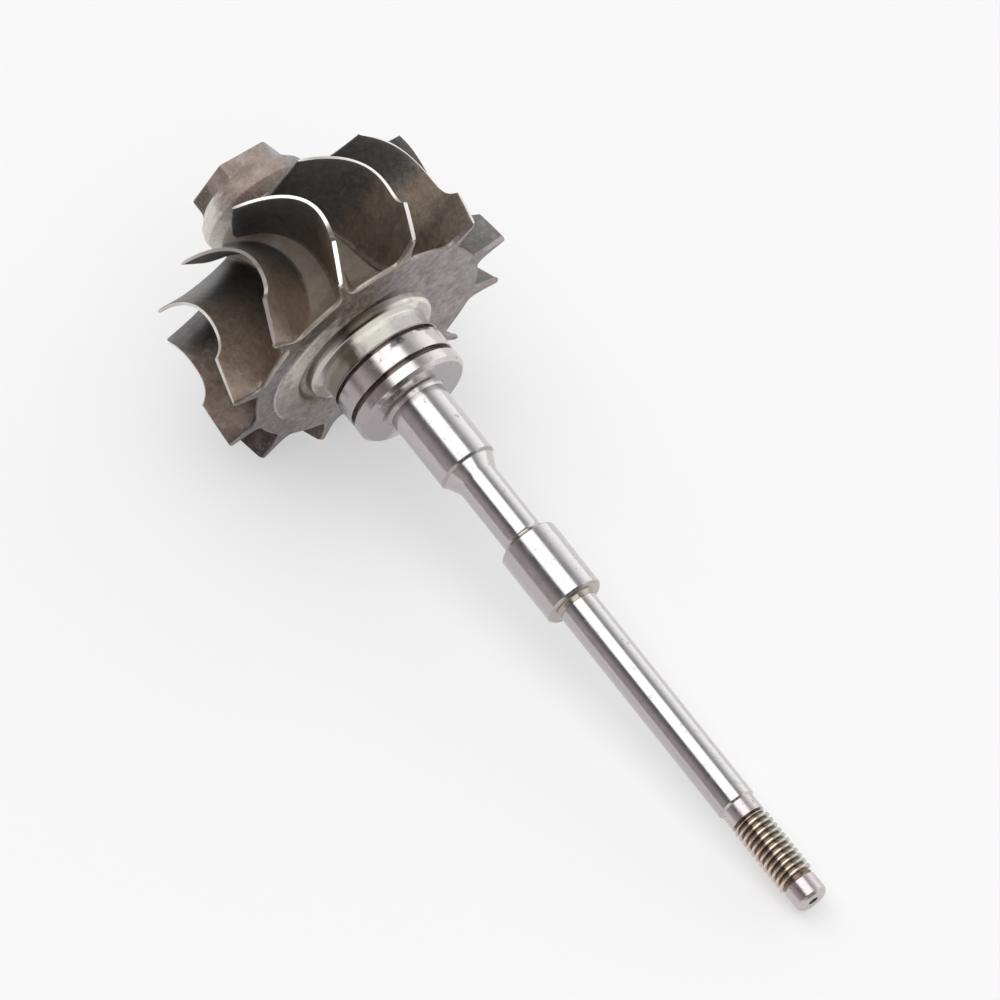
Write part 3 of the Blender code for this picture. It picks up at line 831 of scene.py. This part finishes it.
darker_rim = [
    # Darker on the left, behind the kink, and most of all there on the topmost blade
    dict(colour=(0.54, 0.51, 0.465), side=(92, 24), soft=8, ragged=4),
    dict(colour=(0.45, 0.42, 0.38), station=(-9.0, -6.9), blend=0.7),
    dict(colour=(0.24, 0.22, 0.19), side=(5, 9), station=(-10.3, -6.9), soft=4, ragged=1, blend=0.8),
]
rim_cut = cut_finish("rim_cut", (0.80, 0.76, 0.72), roughness=0.30, ring_scale=1.2, ring_depth=0.001,
                     stains_and_light=darker_rim)

# %% Blades
FLAT_REACH = 2.5


def sheet_faces(rows, columns):
    """Faces of a sheet with two skins, and the finish of each face.

    The second skin's points follow the first's, and a strip joins the two borders. It runs along
    the inlet edge and the rim, which are cut, and back along the outlet and the root.
    """
    number = np.arange(rows * columns).reshape(rows, columns)
    border = np.concatenate([number[0, :-1], number[:-1, -1], number[-1, :0:-1], number[:0:-1, 0]])
    following = np.roll(border, -1)
    far = rows * columns
    skin = grid_quads(rows, columns, False)
    strip = np.stack([border, following, following + far, border + far], axis=-1)
    faces = np.concatenate([skin, skin[:, ::-1] + far, strip])
    finish = np.zeros(len(faces), int)
    finish[2 * len(skin):2 * len(skin) + columns - 1 + rows - 1] = 1
    return faces.tolist(), finish


def blade(index):
    """One blade: both skins stand half a wall off the middle surface.

    They stand off along its normals, but near the disc the part along the axis fades out of the
    direction, so that the root stays on the lobe.
    """
    station, radius, half_wall = blade_grid()
    middle = to_floor(station, radius, camber(station) + FIRST_BLADE_ANGLE + index * BLADE_PITCH)
    normal = np.cross(np.gradient(middle, axis=0), np.gradient(middle, axis=1))
    normal /= np.linalg.norm(normal, axis=-1, keepdims=True)
    axis = DIP_TURN[:, 0]
    near_disc = np.exp((station + DISC_EDGE) / FLAT_REACH).clip(0.0, 1.0)[..., None]
    normal = normal - near_disc * (normal @ axis)[..., None] * axis
    normal /= np.linalg.norm(normal, axis=-1, keepdims=True)
    half = MM * half_wall[..., None] * normal
    faces, finish = sheet_faces(*station.shape)
    make_piece(f"blade_{index + 1:02d}", np.stack([middle - half, middle + half]), faces,
               [blade_cast, rim_cut], finish)


for index in range(BLADE_COUNT):
    blade(index)

# %% [markdown]
# ## Nose
# In front of the outlet the hub carries a collar and a hexagon. The hexagon holds the rotor while
# the compressor's nut is tightened, and metal is ground off the collar to balance the wheel. A
# cylinder with six sides would give the hexagon, but its flats run out into the collar's cone.
# That is the larger of two radii at each point: the cone's, and the hexagon's. A power mean
# instead of a plain maximum rounds the meeting edges.

# %% Collar
CONE_START = -30.0
CONE_START_RADIUS = 9.3
COLLAR_OUTLINE = [
    (-25.9, 8.3),
    (-26.0, 8.45, 0.3),
    (-27.8, 9.62, 0.5),
    (-28.7, 9.75, 0.4),
    (CONE_START, CONE_START_RADIUS, 0.4),
    (-31.45, 8.02),
    (-31.5, 7.0),
]
collar_stains = [
    # Ground bright on the left, grey on the right
    dict(colour=(0.80, 0.76, 0.72), side=(98, 48)),
    dict(colour=(0.27, 0.27, 0.265), side=(-65, 36)),
]
collar_cast = cast_finish("collar_cast", dark=(0.25, 0.19, 0.16), light=(0.42, 0.34, 0.30), roughness=0.5,
                          grain=1.6, specks=0.8, stains_and_light=collar_stains)
turned("nose_collar", COLLAR_OUTLINE, WHEEL_SIDES, [collar_cast])

# %% Hexagon
CORNER_RADIUS = 8.2
FIRST_CORNER = math.radians(25.5)
HEX_POWER = 50
BLEND_POWER = 40
CONE_DROP = 0.862
CONE_FLOOR = 5.0
CONE_CLEARANCE = 0.05
NOSE_START = -30.8
NOSE_END = -34.28
NOSE_WEAR = 0.25
hex_stains = [
    # Darker flats on the left, greyer ones on the right, and neither on the end face
    dict(colour=(0.15, 0.13, 0.11), side=(85, 30), station=(-34.0, -28.0)),
    dict(colour=(0.36, 0.35, 0.345), side=(-65, 36), station=(-34.0, -28.0)),
]
hex_cast = cast_finish("hex_cast", dark=(0.27, 0.21, 0.185), light=(0.42, 0.345, 0.305), roughness=0.5,
                       grain=1.6, specks=0.8, stains_and_light=hex_stains)


def hexagon_radius(angle):
    """Distance from the axis to a hexagon: the flat's distance over the largest of three cosines."""
    flats = FIRST_CORNER + np.pi / 6.0 + np.arange(3)[:, None, None] * np.pi / 3.0
    across = np.abs(np.cos(angle[None] - flats))
    return CORNER_RADIUS * math.cos(math.pi / 6.0) / np.sum(across**HEX_POWER, axis=0) ** (1 / HEX_POWER)


def nose():
    """The hexagon growing into the collar's cone: a power mean of both radii at each station.

    The worn end is a quarter circle that takes the wear off the hexagon's radius.
    """
    angles = even_angles(WHEEL_SIDES) + FIRST_CORNER
    worn_stations = NOSE_END + NOSE_WEAR * (1.0 - np.sin(np.linspace(0.2, 0.5 * np.pi, 7)))
    plain_stations = np.linspace(NOSE_START, NOSE_END + 1.6 * NOSE_WEAR, 32)
    station = np.concatenate([plain_stations, worn_stations])[:, None]
    cone = np.maximum(CONE_START_RADIUS + (station - CONE_START) * CONE_DROP, CONE_FLOOR) - CONE_CLEARANCE
    worn = np.clip(NOSE_END + NOSE_WEAR - station, 0.0, NOSE_WEAR)
    hexagon = hexagon_radius(angles) - NOSE_WEAR + np.sqrt(np.maximum(NOSE_WEAR**2 - worn**2, 0.0))
    radius = (hexagon**BLEND_POWER + cone**BLEND_POWER) ** (1 / BLEND_POWER)
    round_piece("hex_nose", station, radius, angles, [hex_cast])


nose()

# %% [markdown]
# ## Weld neck and seal boss
# The shaft's flange was spun against the casting until both fused, and the upset metal was turned
# to a soft bulge with a neck behind it. The boss carries two grooves for the seal rings that keep
# exhaust gas out of the bearing housing. Grooves could be cut with rings and a boolean, but they
# are only more corners of the outline on the lathe. The neck was left as it came, so it has a
# rough finish of its own between two stations.

# %% Weld and neck
NECK_RADIUS = 9.1
NECK_END = 3.0
ROUGH_NECK = (1.65, 4.5)
WELD_OUTLINE = [
    (-0.35, 11.35),
    (0.05, 11.25, 0.15),
    (0.85, 11.1, 0.5),
    (1.4, 10.75, 0.5),
    (1.75, 9.3, 0.4),
    (2.4, NECK_RADIUS, 0.5),
    (NECK_END + 0.05, NECK_RADIUS),
]
# A painted highlight where the bulge falls to the neck, on the side that faces up
painted_flank_highlight = dict(colour=(0.98, 0.95, 0.90), side=(-8, 36), station=(1.42, 1.9), soft=10, blend=0.08)
weld_stains_and_light = [
    # Burnt above, with painted shade as a dark line along the bulge's edge, a painted highlight on the
    # right, darker on the lower left, and the flank's painted highlight
    dict(colour=(0.115, 0.095, 0.075), side=(14, 22), station=(-0.6, 1.3), soft=11, ragged=2, blend=0.15),
    dict(colour=(0.03, 0.025, 0.02), side=(14, 18), station=(1.08, 1.32), soft=8, ragged=2, blend=0.08),
    dict(colour=(0.82, 0.78, 0.74), side=(-64, 26), station=(-0.6, 1.4), soft=14),
    dict(colour=(0.24, 0.22, 0.19), side=(112, 18), station=(1.2, 1.9), soft=8, blend=0.2),
    painted_flank_highlight,
]
weld_turned = cut_finish("weld_turned", (0.54, 0.50, 0.47), roughness=0.31, ring_scale=2.5, ring_depth=0.03,
                         spots=0.3, spot_colour=(0.16, 0.14, 0.10), stains_and_light=weld_stains_and_light)
neck_stains_and_light = [
    # Brown on the left, the flank's painted highlight, then a dark band and a painted white highlight
    # above, and grey on the right
    dict(colour=(0.31, 0.285, 0.24), side=(82, 42), ragged=4),
    painted_flank_highlight,
    dict(colour=(0.11, 0.095, 0.068), side=(42, 10), soft=6, ragged=4),
    dict(colour=(1.0, 0.98, 0.89), side=(8, 17), soft=6, ragged=6),
    dict(colour=(0.44, 0.41, 0.41), side=(-72, 26)),
]
neck_turned = cut_finish("neck_turned", (0.74, 0.71, 0.69), roughness=0.38, ring_scale=3.0, ring_depth=0.03,
                         spots=0.35, spot_colour=(0.24, 0.22, 0.15), pits=4.0, stains_and_light=neck_stains_and_light,
                         metallic=0.1)
turned("weld_neck", WELD_OUTLINE, WHEEL_SIDES, [weld_turned, neck_turned], ROUGH_NECK)

# %% Outline of the boss
BOSS_RADIUS = 9.5
GROOVE_RADIUS = 8.4
FIRST_GROOVE = (4.78, 5.42)
SECOND_GROOVE = (8.78, 9.7)
CHAMFER_START = 11.35
BOSS_END = 12.0
JOURNAL_START = 12.8
BOSS_OUTLINE = [
    (NECK_END - 0.05, 8.0),
    (NECK_END, NECK_RADIUS),
    (4.38, 9.15, 0.3),
    (4.61, 9.48, 0.1),
    (FIRST_GROOVE[0], BOSS_RADIUS, 0.05),
    (FIRST_GROOVE[0], GROOVE_RADIUS, 0.1),
    (FIRST_GROOVE[1], GROOVE_RADIUS, 0.1),
    (FIRST_GROOVE[1], BOSS_RADIUS, 0.08),
    (SECOND_GROOVE[0], BOSS_RADIUS, 0.08),
    (SECOND_GROOVE[0], GROOVE_RADIUS, 0.1),
    (SECOND_GROOVE[1], GROOVE_RADIUS, 0.1),
    (SECOND_GROOVE[1], BOSS_RADIUS, 0.06),
    (CHAMFER_START, BOSS_RADIUS, 0.1),
    (BOSS_END, 8.85, 0.12),
    (BOSS_END, 5.3, 0.25),
    (JOURNAL_START, 4.84),
    (JOURNAL_START + 0.02, 3.0),
]
print("the grooves are", [round(end - start, 2) for start, end in (FIRST_GROOVE, SECOND_GROOVE)], "mm wide")

# %% Seal boss
# A painted dark reflection on the chamfer
CHAMFER_DARK_REFLECTION = (0.34, 0.315, 0.285)
# Painted shade on the floors of the grooves
GROOVE_SHADE = (0.22, 0.185, 0.165)
# Stations of the chamfer and the edge behind it
chamfer = (CHAMFER_START + 0.05, BOSS_END + 0.2)
boss_stains_and_light = [
    # Painted shade: the whole left side is darker, a painted reflection of a darker room
    dict(colour=(0.39, 0.35, 0.365), side=(96, 54)),
    # The land between the grooves: dark on the left, a painted dark reflection that splits the highlight
    # above, a pale streak, another fleck
    dict(colour=(0.08, 0.062, 0.067), side=(112, 20), station=(5.0, 7.7), soft=7, ragged=5, blend=0.8),
    dict(colour=(0.12, 0.12, 0.125), side=(0, 6), station=(5.0, 6.5), soft=5, ragged=8, blend=0.4),
    dict(colour=(0.80, 0.76, 0.75), side=(40, 8), station=(5.4, 8.8), soft=6, ragged=3),
    dict(colour=(0.14, 0.115, 0.115), side=(-37, 8), station=(4.9, 5.9), soft=4, ragged=6, blend=0.2),
    # The end face, and the chamfer before it: pale on top, with painted dark reflections beside that
    dict(colour=(0.35, 0.33, 0.34), side=(-90, 75), station=(BOSS_END - 0.05, BOSS_END + 0.4)),
    dict(colour=(0.85, 0.80, 0.76), side=(4, 16), station=(CHAMFER_START + 0.05, BOSS_END - 0.05), soft=6),
    dict(colour=CHAMFER_DARK_REFLECTION, side=(27, 12), station=chamfer, soft=6),
    dict(colour=(0.20, 0.18, 0.165), side=(44, 7), station=chamfer, soft=6),
    # Painted shade in the corner between the end face and the journal
    dict(colour=(0.20, 0.18, 0.16), side=(30, 60), station=(11.9, 12.4), distance=(5.2, 6.1)),
    # Painted shade on the floors of both grooves
    dict(colour=GROOVE_SHADE, station=(FIRST_GROOVE[0], SECOND_GROOVE[1] + 0.02), distance=(7.0, 9.3)),
]
boss_turned = cut_finish("boss_turned", (0.62, 0.58, 0.575), roughness=0.20, ring_scale=5.0,
                         ring_depth=0.01, spots=0.6, spot_colour=(0.20, 0.17, 0.15), stains_and_light=boss_stains_and_light)
turned("seal_boss", BOSS_OUTLINE, WHEEL_SIDES, [boss_turned, neck_turned], ROUGH_NECK)

# %% [markdown]
# ## Shaft
# From the boss to the thread the shaft is ground between centres: two journals that run in the
# bearings, a waist between them, and a stub for the compressor wheel. One long outline would do,
# but each diameter is its own piece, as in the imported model, and meets its neighbour face to face.

# %% Finishes of the shaft
WAIST_START = 25.8
WAIST_END = 40.6
STUB_START = 53.4
STEEL = (0.60, 0.58, 0.585)
# Painted shade: the left side is darker, a painted reflection of a darker room
shaded = dict(colour=(0.49, 0.455, 0.465), side=(112, 62))
shaft_stains_and_shade = [
    shaded,
    # Painted shade at the end of the waist, where it faces away, then oil on the second journal's chamfer
    # and in the corner behind it
    dict(colour=(0.36, 0.315, 0.27), station=(WAIST_END - 0.6, WAIST_END + 0.15)),
    dict(colour=(0.44, 0.41, 0.40), station=(STUB_START - 1.0, STUB_START + 0.1)),
    dict(colour=(0.42, 0.37, 0.32), station=(STUB_START - 0.65, STUB_START + 0.1), distance=(3.1, 3.7)),
]
shaft_ground = cut_finish("shaft_ground", STEEL, roughness=0.16, ring_scale=7.0, ring_depth=0.006,
                          spots=0.45, pits=0.8, stains_and_light=shaft_stains_and_shade)
journal_stains_and_shade = [
    shaded,
    # The chamfer towards the waist
    dict(colour=(0.42, 0.38, 0.37), station=(WAIST_START - 0.38, WAIST_START + 0.2)),
]
journal_worn = cut_finish("journal_worn", STEEL, roughness=0.17, ring_scale=7.0, ring_depth=0.008,
                          spots=0.6, spot_colour=(0.22, 0.19, 0.17), pits=0.8, stains_and_light=journal_stains_and_shade)
pilot_dull = cut_finish("pilot_dull", (0.58, 0.52, 0.53), roughness=0.25, ring_scale=5.0, ring_depth=0.01,
                        spots=0.8, spot_colour=(0.30, 0.25, 0.24))

# %% Journals, waist, stub and relief
SHAFT_SIDES = 96
SEAM = 0.03
CORE_RADIUS = 3.0
THIN_CORE_RADIUS = 2.0
JOURNAL_RADIUS = 4.82
JOURNAL_EDGE_RADIUS = 4.42
WAIST_RADIUS = 3.3
STUB_RADIUS = 3.12
RELIEF_RADIUS = 2.8
SHAFT_PIECES = [
    ("journal_wheel_side", journal_worn, "ground_steel", [
        (JOURNAL_START, CORE_RADIUS),
        (JOURNAL_START + SEAM, JOURNAL_RADIUS),
        (WAIST_START - 0.4, JOURNAL_RADIUS, 0.1),
        (WAIST_START, JOURNAL_EDGE_RADIUS),
        (WAIST_START + SEAM, CORE_RADIUS),
    ]),
    ("shaft_waist", shaft_ground, "turned_steel", [
        (WAIST_START, CORE_RADIUS),
        (WAIST_START + SEAM, JOURNAL_EDGE_RADIUS),
        (28.2, WAIST_RADIUS, 2.0),
        (WAIST_END - 1.0, WAIST_RADIUS, 0.7),
        (WAIST_END, 4.2, 0.5),
        (WAIST_END, CORE_RADIUS),
    ]),
    ("journal_compressor_side", shaft_ground, "ground_steel", [
        (WAIST_END, CORE_RADIUS),
        (WAIST_END + 0.02, 4.6),
        (WAIST_END + 0.25, JOURNAL_RADIUS, 0.1),
        (52.3, JOURNAL_RADIUS, 0.08),
        (52.7, JOURNAL_EDGE_RADIUS, 0.05),
        (52.7, 3.5, 0.2),
        (STUB_START, STUB_RADIUS + 0.01),
        (STUB_START + 0.02, THIN_CORE_RADIUS),
    ]),
    ("stub_shaft", shaft_ground, "ground_steel", [
        (STUB_START, THIN_CORE_RADIUS),
        (STUB_START + SEAM, STUB_RADIUS),
        (92.7, STUB_RADIUS, 0.1),
        (RELIEF_START, RELIEF_RADIUS),
        (RELIEF_START, THIN_CORE_RADIUS),
    ]),
    ("thread_relief", pilot_dull, "turned_steel", [
        (RELIEF_START - SEAM, THIN_CORE_RADIUS),
        (RELIEF_START, RELIEF_RADIUS),
        (RELIEF_END, RELIEF_RADIUS),
        (RELIEF_END, THIN_CORE_RADIUS),
    ]),
]
for node, finish, slot, outline in SHAFT_PIECES:
    turned(node, outline, SHAFT_SIDES, [finish])

# %% [markdown]
# ## Thread
# The compressor's nut sits on a rolled thread. A Screw modifier can wind one, but it leaves open
# ends inside the shaft. Here the thread is a height that winds: at a station and an angle, the
# phase is the station in pitches less the angle in turns. Over one phase the profile has a crest
# and a root, each about a fifth of the pitch, and two flanks with soft corners between them. It
# fades out at both ends, over a little less than a turn.

# %% Threaded end
PITCH = 1.0
CREST_RADIUS = 2.96
ROOT_RADIUS = 2.36
THREAD_START = 95.63
THREAD_END = 108.0
THREAD_ROWS = 420
FLANK_STEEPNESS = 3.4
ROOT_OFFSET = 0.35
RUN_OUT = 0.8
thread_stains = [
    # Greyer on the right, and dark in the roots
    dict(colour=(0.50, 0.50, 0.45), side=(-60, 50), soft=35),
    dict(colour=(0.20, 0.155, 0.115), distance=(0.0, ROOT_RADIUS + 0.18)),
]
thread_oxide = cut_finish("thread_oxide", (0.72, 0.61, 0.54), roughness=0.24, ring_scale=3.0,
                          ring_depth=0.01, spots=0.7, spot_colour=(0.17, 0.13, 0.08), stains_and_light=thread_stains)


def thread():
    """Radius over station and angle: the root's plus the profile's height, times its run-out.

    The height rises and falls with the distance from the middle of a phase, and is cut off at both
    ends.
    """
    station = np.linspace(THREAD_START, THREAD_END, THREAD_ROWS)[:, None]
    angle = even_angles(SHAFT_SIDES)
    phase = (station / PITCH - angle / FULL_TURN) % 1.0
    profile = np.clip(np.abs(phase - 0.5) * FLANK_STEEPNESS - ROOT_OFFSET, 0.0, 1.0)
    from_end = np.minimum(station - THREAD_START, THREAD_END - station)
    height = smooth_step(profile, 0.0, 1.0) * smooth_step(from_end, 0.0, RUN_OUT * PITCH)
    radius = ROOT_RADIUS + (CREST_RADIUS - ROOT_RADIUS) * height
    round_piece("threaded_end", station, radius, angle, [thread_oxide])


thread()

# %% [markdown]
# ## Pilot tip
# Past the thread a short plain tip guides the nut on, and its face has the drilled centre that
# held the shaft in the grinder. Drilling it with a boolean would work, but on the lathe the hole
# is the outline going back inside.

# %% Pilot tip
PILOT_FACE = PILOT_END - 0.02
PILOT_OUTLINE = [
    (THREAD_END, 2.3),
    (THREAD_END + SEAM, 2.45),
    (108.3, PILOT_RADIUS, 0.1),
    (PILOT_END - PILOT_CHAMFER, PILOT_RADIUS, 0.1),
    (PILOT_FACE, 2.2, 0.1),
    (PILOT_FACE, 0.8, 0.05),
    (109.6, 0.74),
    (109.2, 0.05),
]
turned("pilot_tip", PILOT_OUTLINE, SHAFT_SIDES, [pilot_dull])

# %% [markdown]
# ## Floor
# The photo shows the rotor on seamless white paper. A paper that only reflects would need more
# light than the metal can take without losing its dark lines, so the floor here reflects about
# half of it and glows with the rest. Its shadows stay soft.

# %% Floor
FLOOR_REACH = 3.0
FLOOR_ALBEDO = 0.48
FLOOR_GLOW = 0.446
floor_paint = bpy.data.materials.new("floor_paint")
floor_paint.use_nodes = True
floor_inputs = floor_paint.node_tree.nodes["Principled BSDF"].inputs
floor_inputs["Base Color"].default_value = (FLOOR_ALBEDO, FLOOR_ALBEDO, FLOOR_ALBEDO, 1.0)
floor_inputs["Emission Color"].default_value = (1.0, 1.0, 1.0, 1.0)
floor_inputs["Emission Strength"].default_value = FLOOR_GLOW
floor_inputs["Roughness"].default_value = 0.9
floor_inputs["Specular IOR Level"].default_value = 0.1
floor_mesh = bpy.data.meshes.new("floor")
floor_corners = [(x * FLOOR_REACH, y * FLOOR_REACH, 0.0) for x, y in ((-1, -1), (1, -1), (1, 1), (-1, 1))]
floor_mesh.from_pydata(floor_corners, [], [(0, 1, 2, 3)])
floor_mesh.materials.append(floor_paint)
floor = bpy.data.objects.new("floor", floor_mesh)
bpy.context.scene.collection.objects.link(floor)
print("floor:", 2.0 * FLOOR_REACH, "m across")

# %% [markdown]
# ## Studio light
# The photo was taken under a large overhead soft box, with a bright wall on one side and a darker
# room on the other. On a polished shaft these show as a white strip with a dark line on each side.
# Area lights could stand for them, but their borders would cross the shaft. A world shader holds
# them all as one ramp over the angle about the shaft's direction, and dims the end past the thread.

# %% Studio light
WORLD_STRENGTH = 2.0
DARK_END = 0.2
DARK_END_RANGE = (0.72, 0.88)
PINK_WALL = (1.0, 0.9, 0.925)
PINK_FROM = 29
# Degrees from straight up about the shaft, and the light's level there
SKY_STOPS = [
    (-180, 1.0), (-90, 1.50), (-70, 1.38), (-58, 1.10), (-47, 0.74), (-36, 0.40), (-23, 0.34), (-21, 1.85),
    (28, 1.85), (30, 0.11), (43, 0.14), (54, 0.27), (64, 0.40), (75, 0.47), (90, 0.47), (180, 0.47),
]
world = bpy.data.worlds.new("studio")
bpy.context.scene.world = world
world.use_nodes = True
sky_tree = world.node_tree
direction = add(sky_tree, "ShaderNodeTexCoord").outputs["Generated"]
along, across, upwards = add(sky_tree, "ShaderNodeSeparateXYZ", {0: direction}).outputs
tilt = math_node(sky_tree, "ARCTAN2", math_node(sky_tree, "MULTIPLY", across, -1.0), upwards)
place = math_node(sky_tree, "ADD", math_node(sky_tree, "DIVIDE", tilt, FULL_TURN), 0.5)
sky = add(sky_tree, "ShaderNodeValToRGB", {0: place})
elements = sky.color_ramp.elements
for number, (angle, level) in enumerate(SKY_STOPS):
    where = (angle + 180.0) / 360.0
    element = elements[number] if number < 2 else elements.new(where)
    element.position = where
    tone = PINK_WALL if angle > PINK_FROM else (1.0, 1.0, 1.0)
    element.color = (*(level / WORLD_STRENGTH * part for part in tone), 1.0)
dark_end = ramp(sky_tree, along, *DARK_END_RANGE, 1.0, DARK_END)
background = sky_tree.nodes["Background"]
sky_tree.links.new(sky.outputs[0], background.inputs["Color"])
strength = math_node(sky_tree, "MULTIPLY", dark_end, WORLD_STRENGTH)
sky_tree.links.new(strength, background.inputs["Strength"])
print("sky:", len(elements), "stops, up to", max(level for angle, level in SKY_STOPS))

# %% [markdown]
# ## Camera
# The camera looks down steeply from the thread's side, through a long lens, so that the shaft
# hardly narrows with distance. It was placed by matching the wheel's tips, the journals and the
# thread. A track constraint could aim it, but a matrix also holds its small roll.

# %% Camera
CAMERA_AZIMUTH = math.radians(57.1954)
CAMERA_ELEVATION = math.radians(54.187)
CAMERA_ROLL = math.radians(-4.4852)
CAMERA_DISTANCE = 1.44213
CAMERA_AIM = Vector((-0.01659, 0.00796, 0.0))
CAMERA_LENS = 341.6
SENSOR_WIDTH = 36.0

level_part = math.cos(CAMERA_ELEVATION)
look = Vector((-math.sin(CAMERA_AZIMUTH) * level_part, math.cos(CAMERA_AZIMUTH) * level_part,
               -math.sin(CAMERA_ELEVATION)))
camera_data = bpy.data.cameras.new("camera")
camera_data.sensor_width = SENSOR_WIDTH
camera_data.lens = CAMERA_LENS
camera = bpy.data.objects.new("camera", camera_data)
bpy.context.scene.collection.objects.link(camera)
camera_place = Matrix.Translation(CAMERA_AIM - look * CAMERA_DISTANCE)
camera_turn = look.to_track_quat("-Z", "Y").to_matrix().to_4x4()
camera.matrix_world = camera_place @ camera_turn @ Matrix.Rotation(CAMERA_ROLL, 4, "Z")
bpy.context.scene.camera = camera
bpy.context.scene.view_settings.view_transform = "Standard"
print("camera:", CAMERA_DISTANCE, "m away, lens", CAMERA_LENS, "mm")
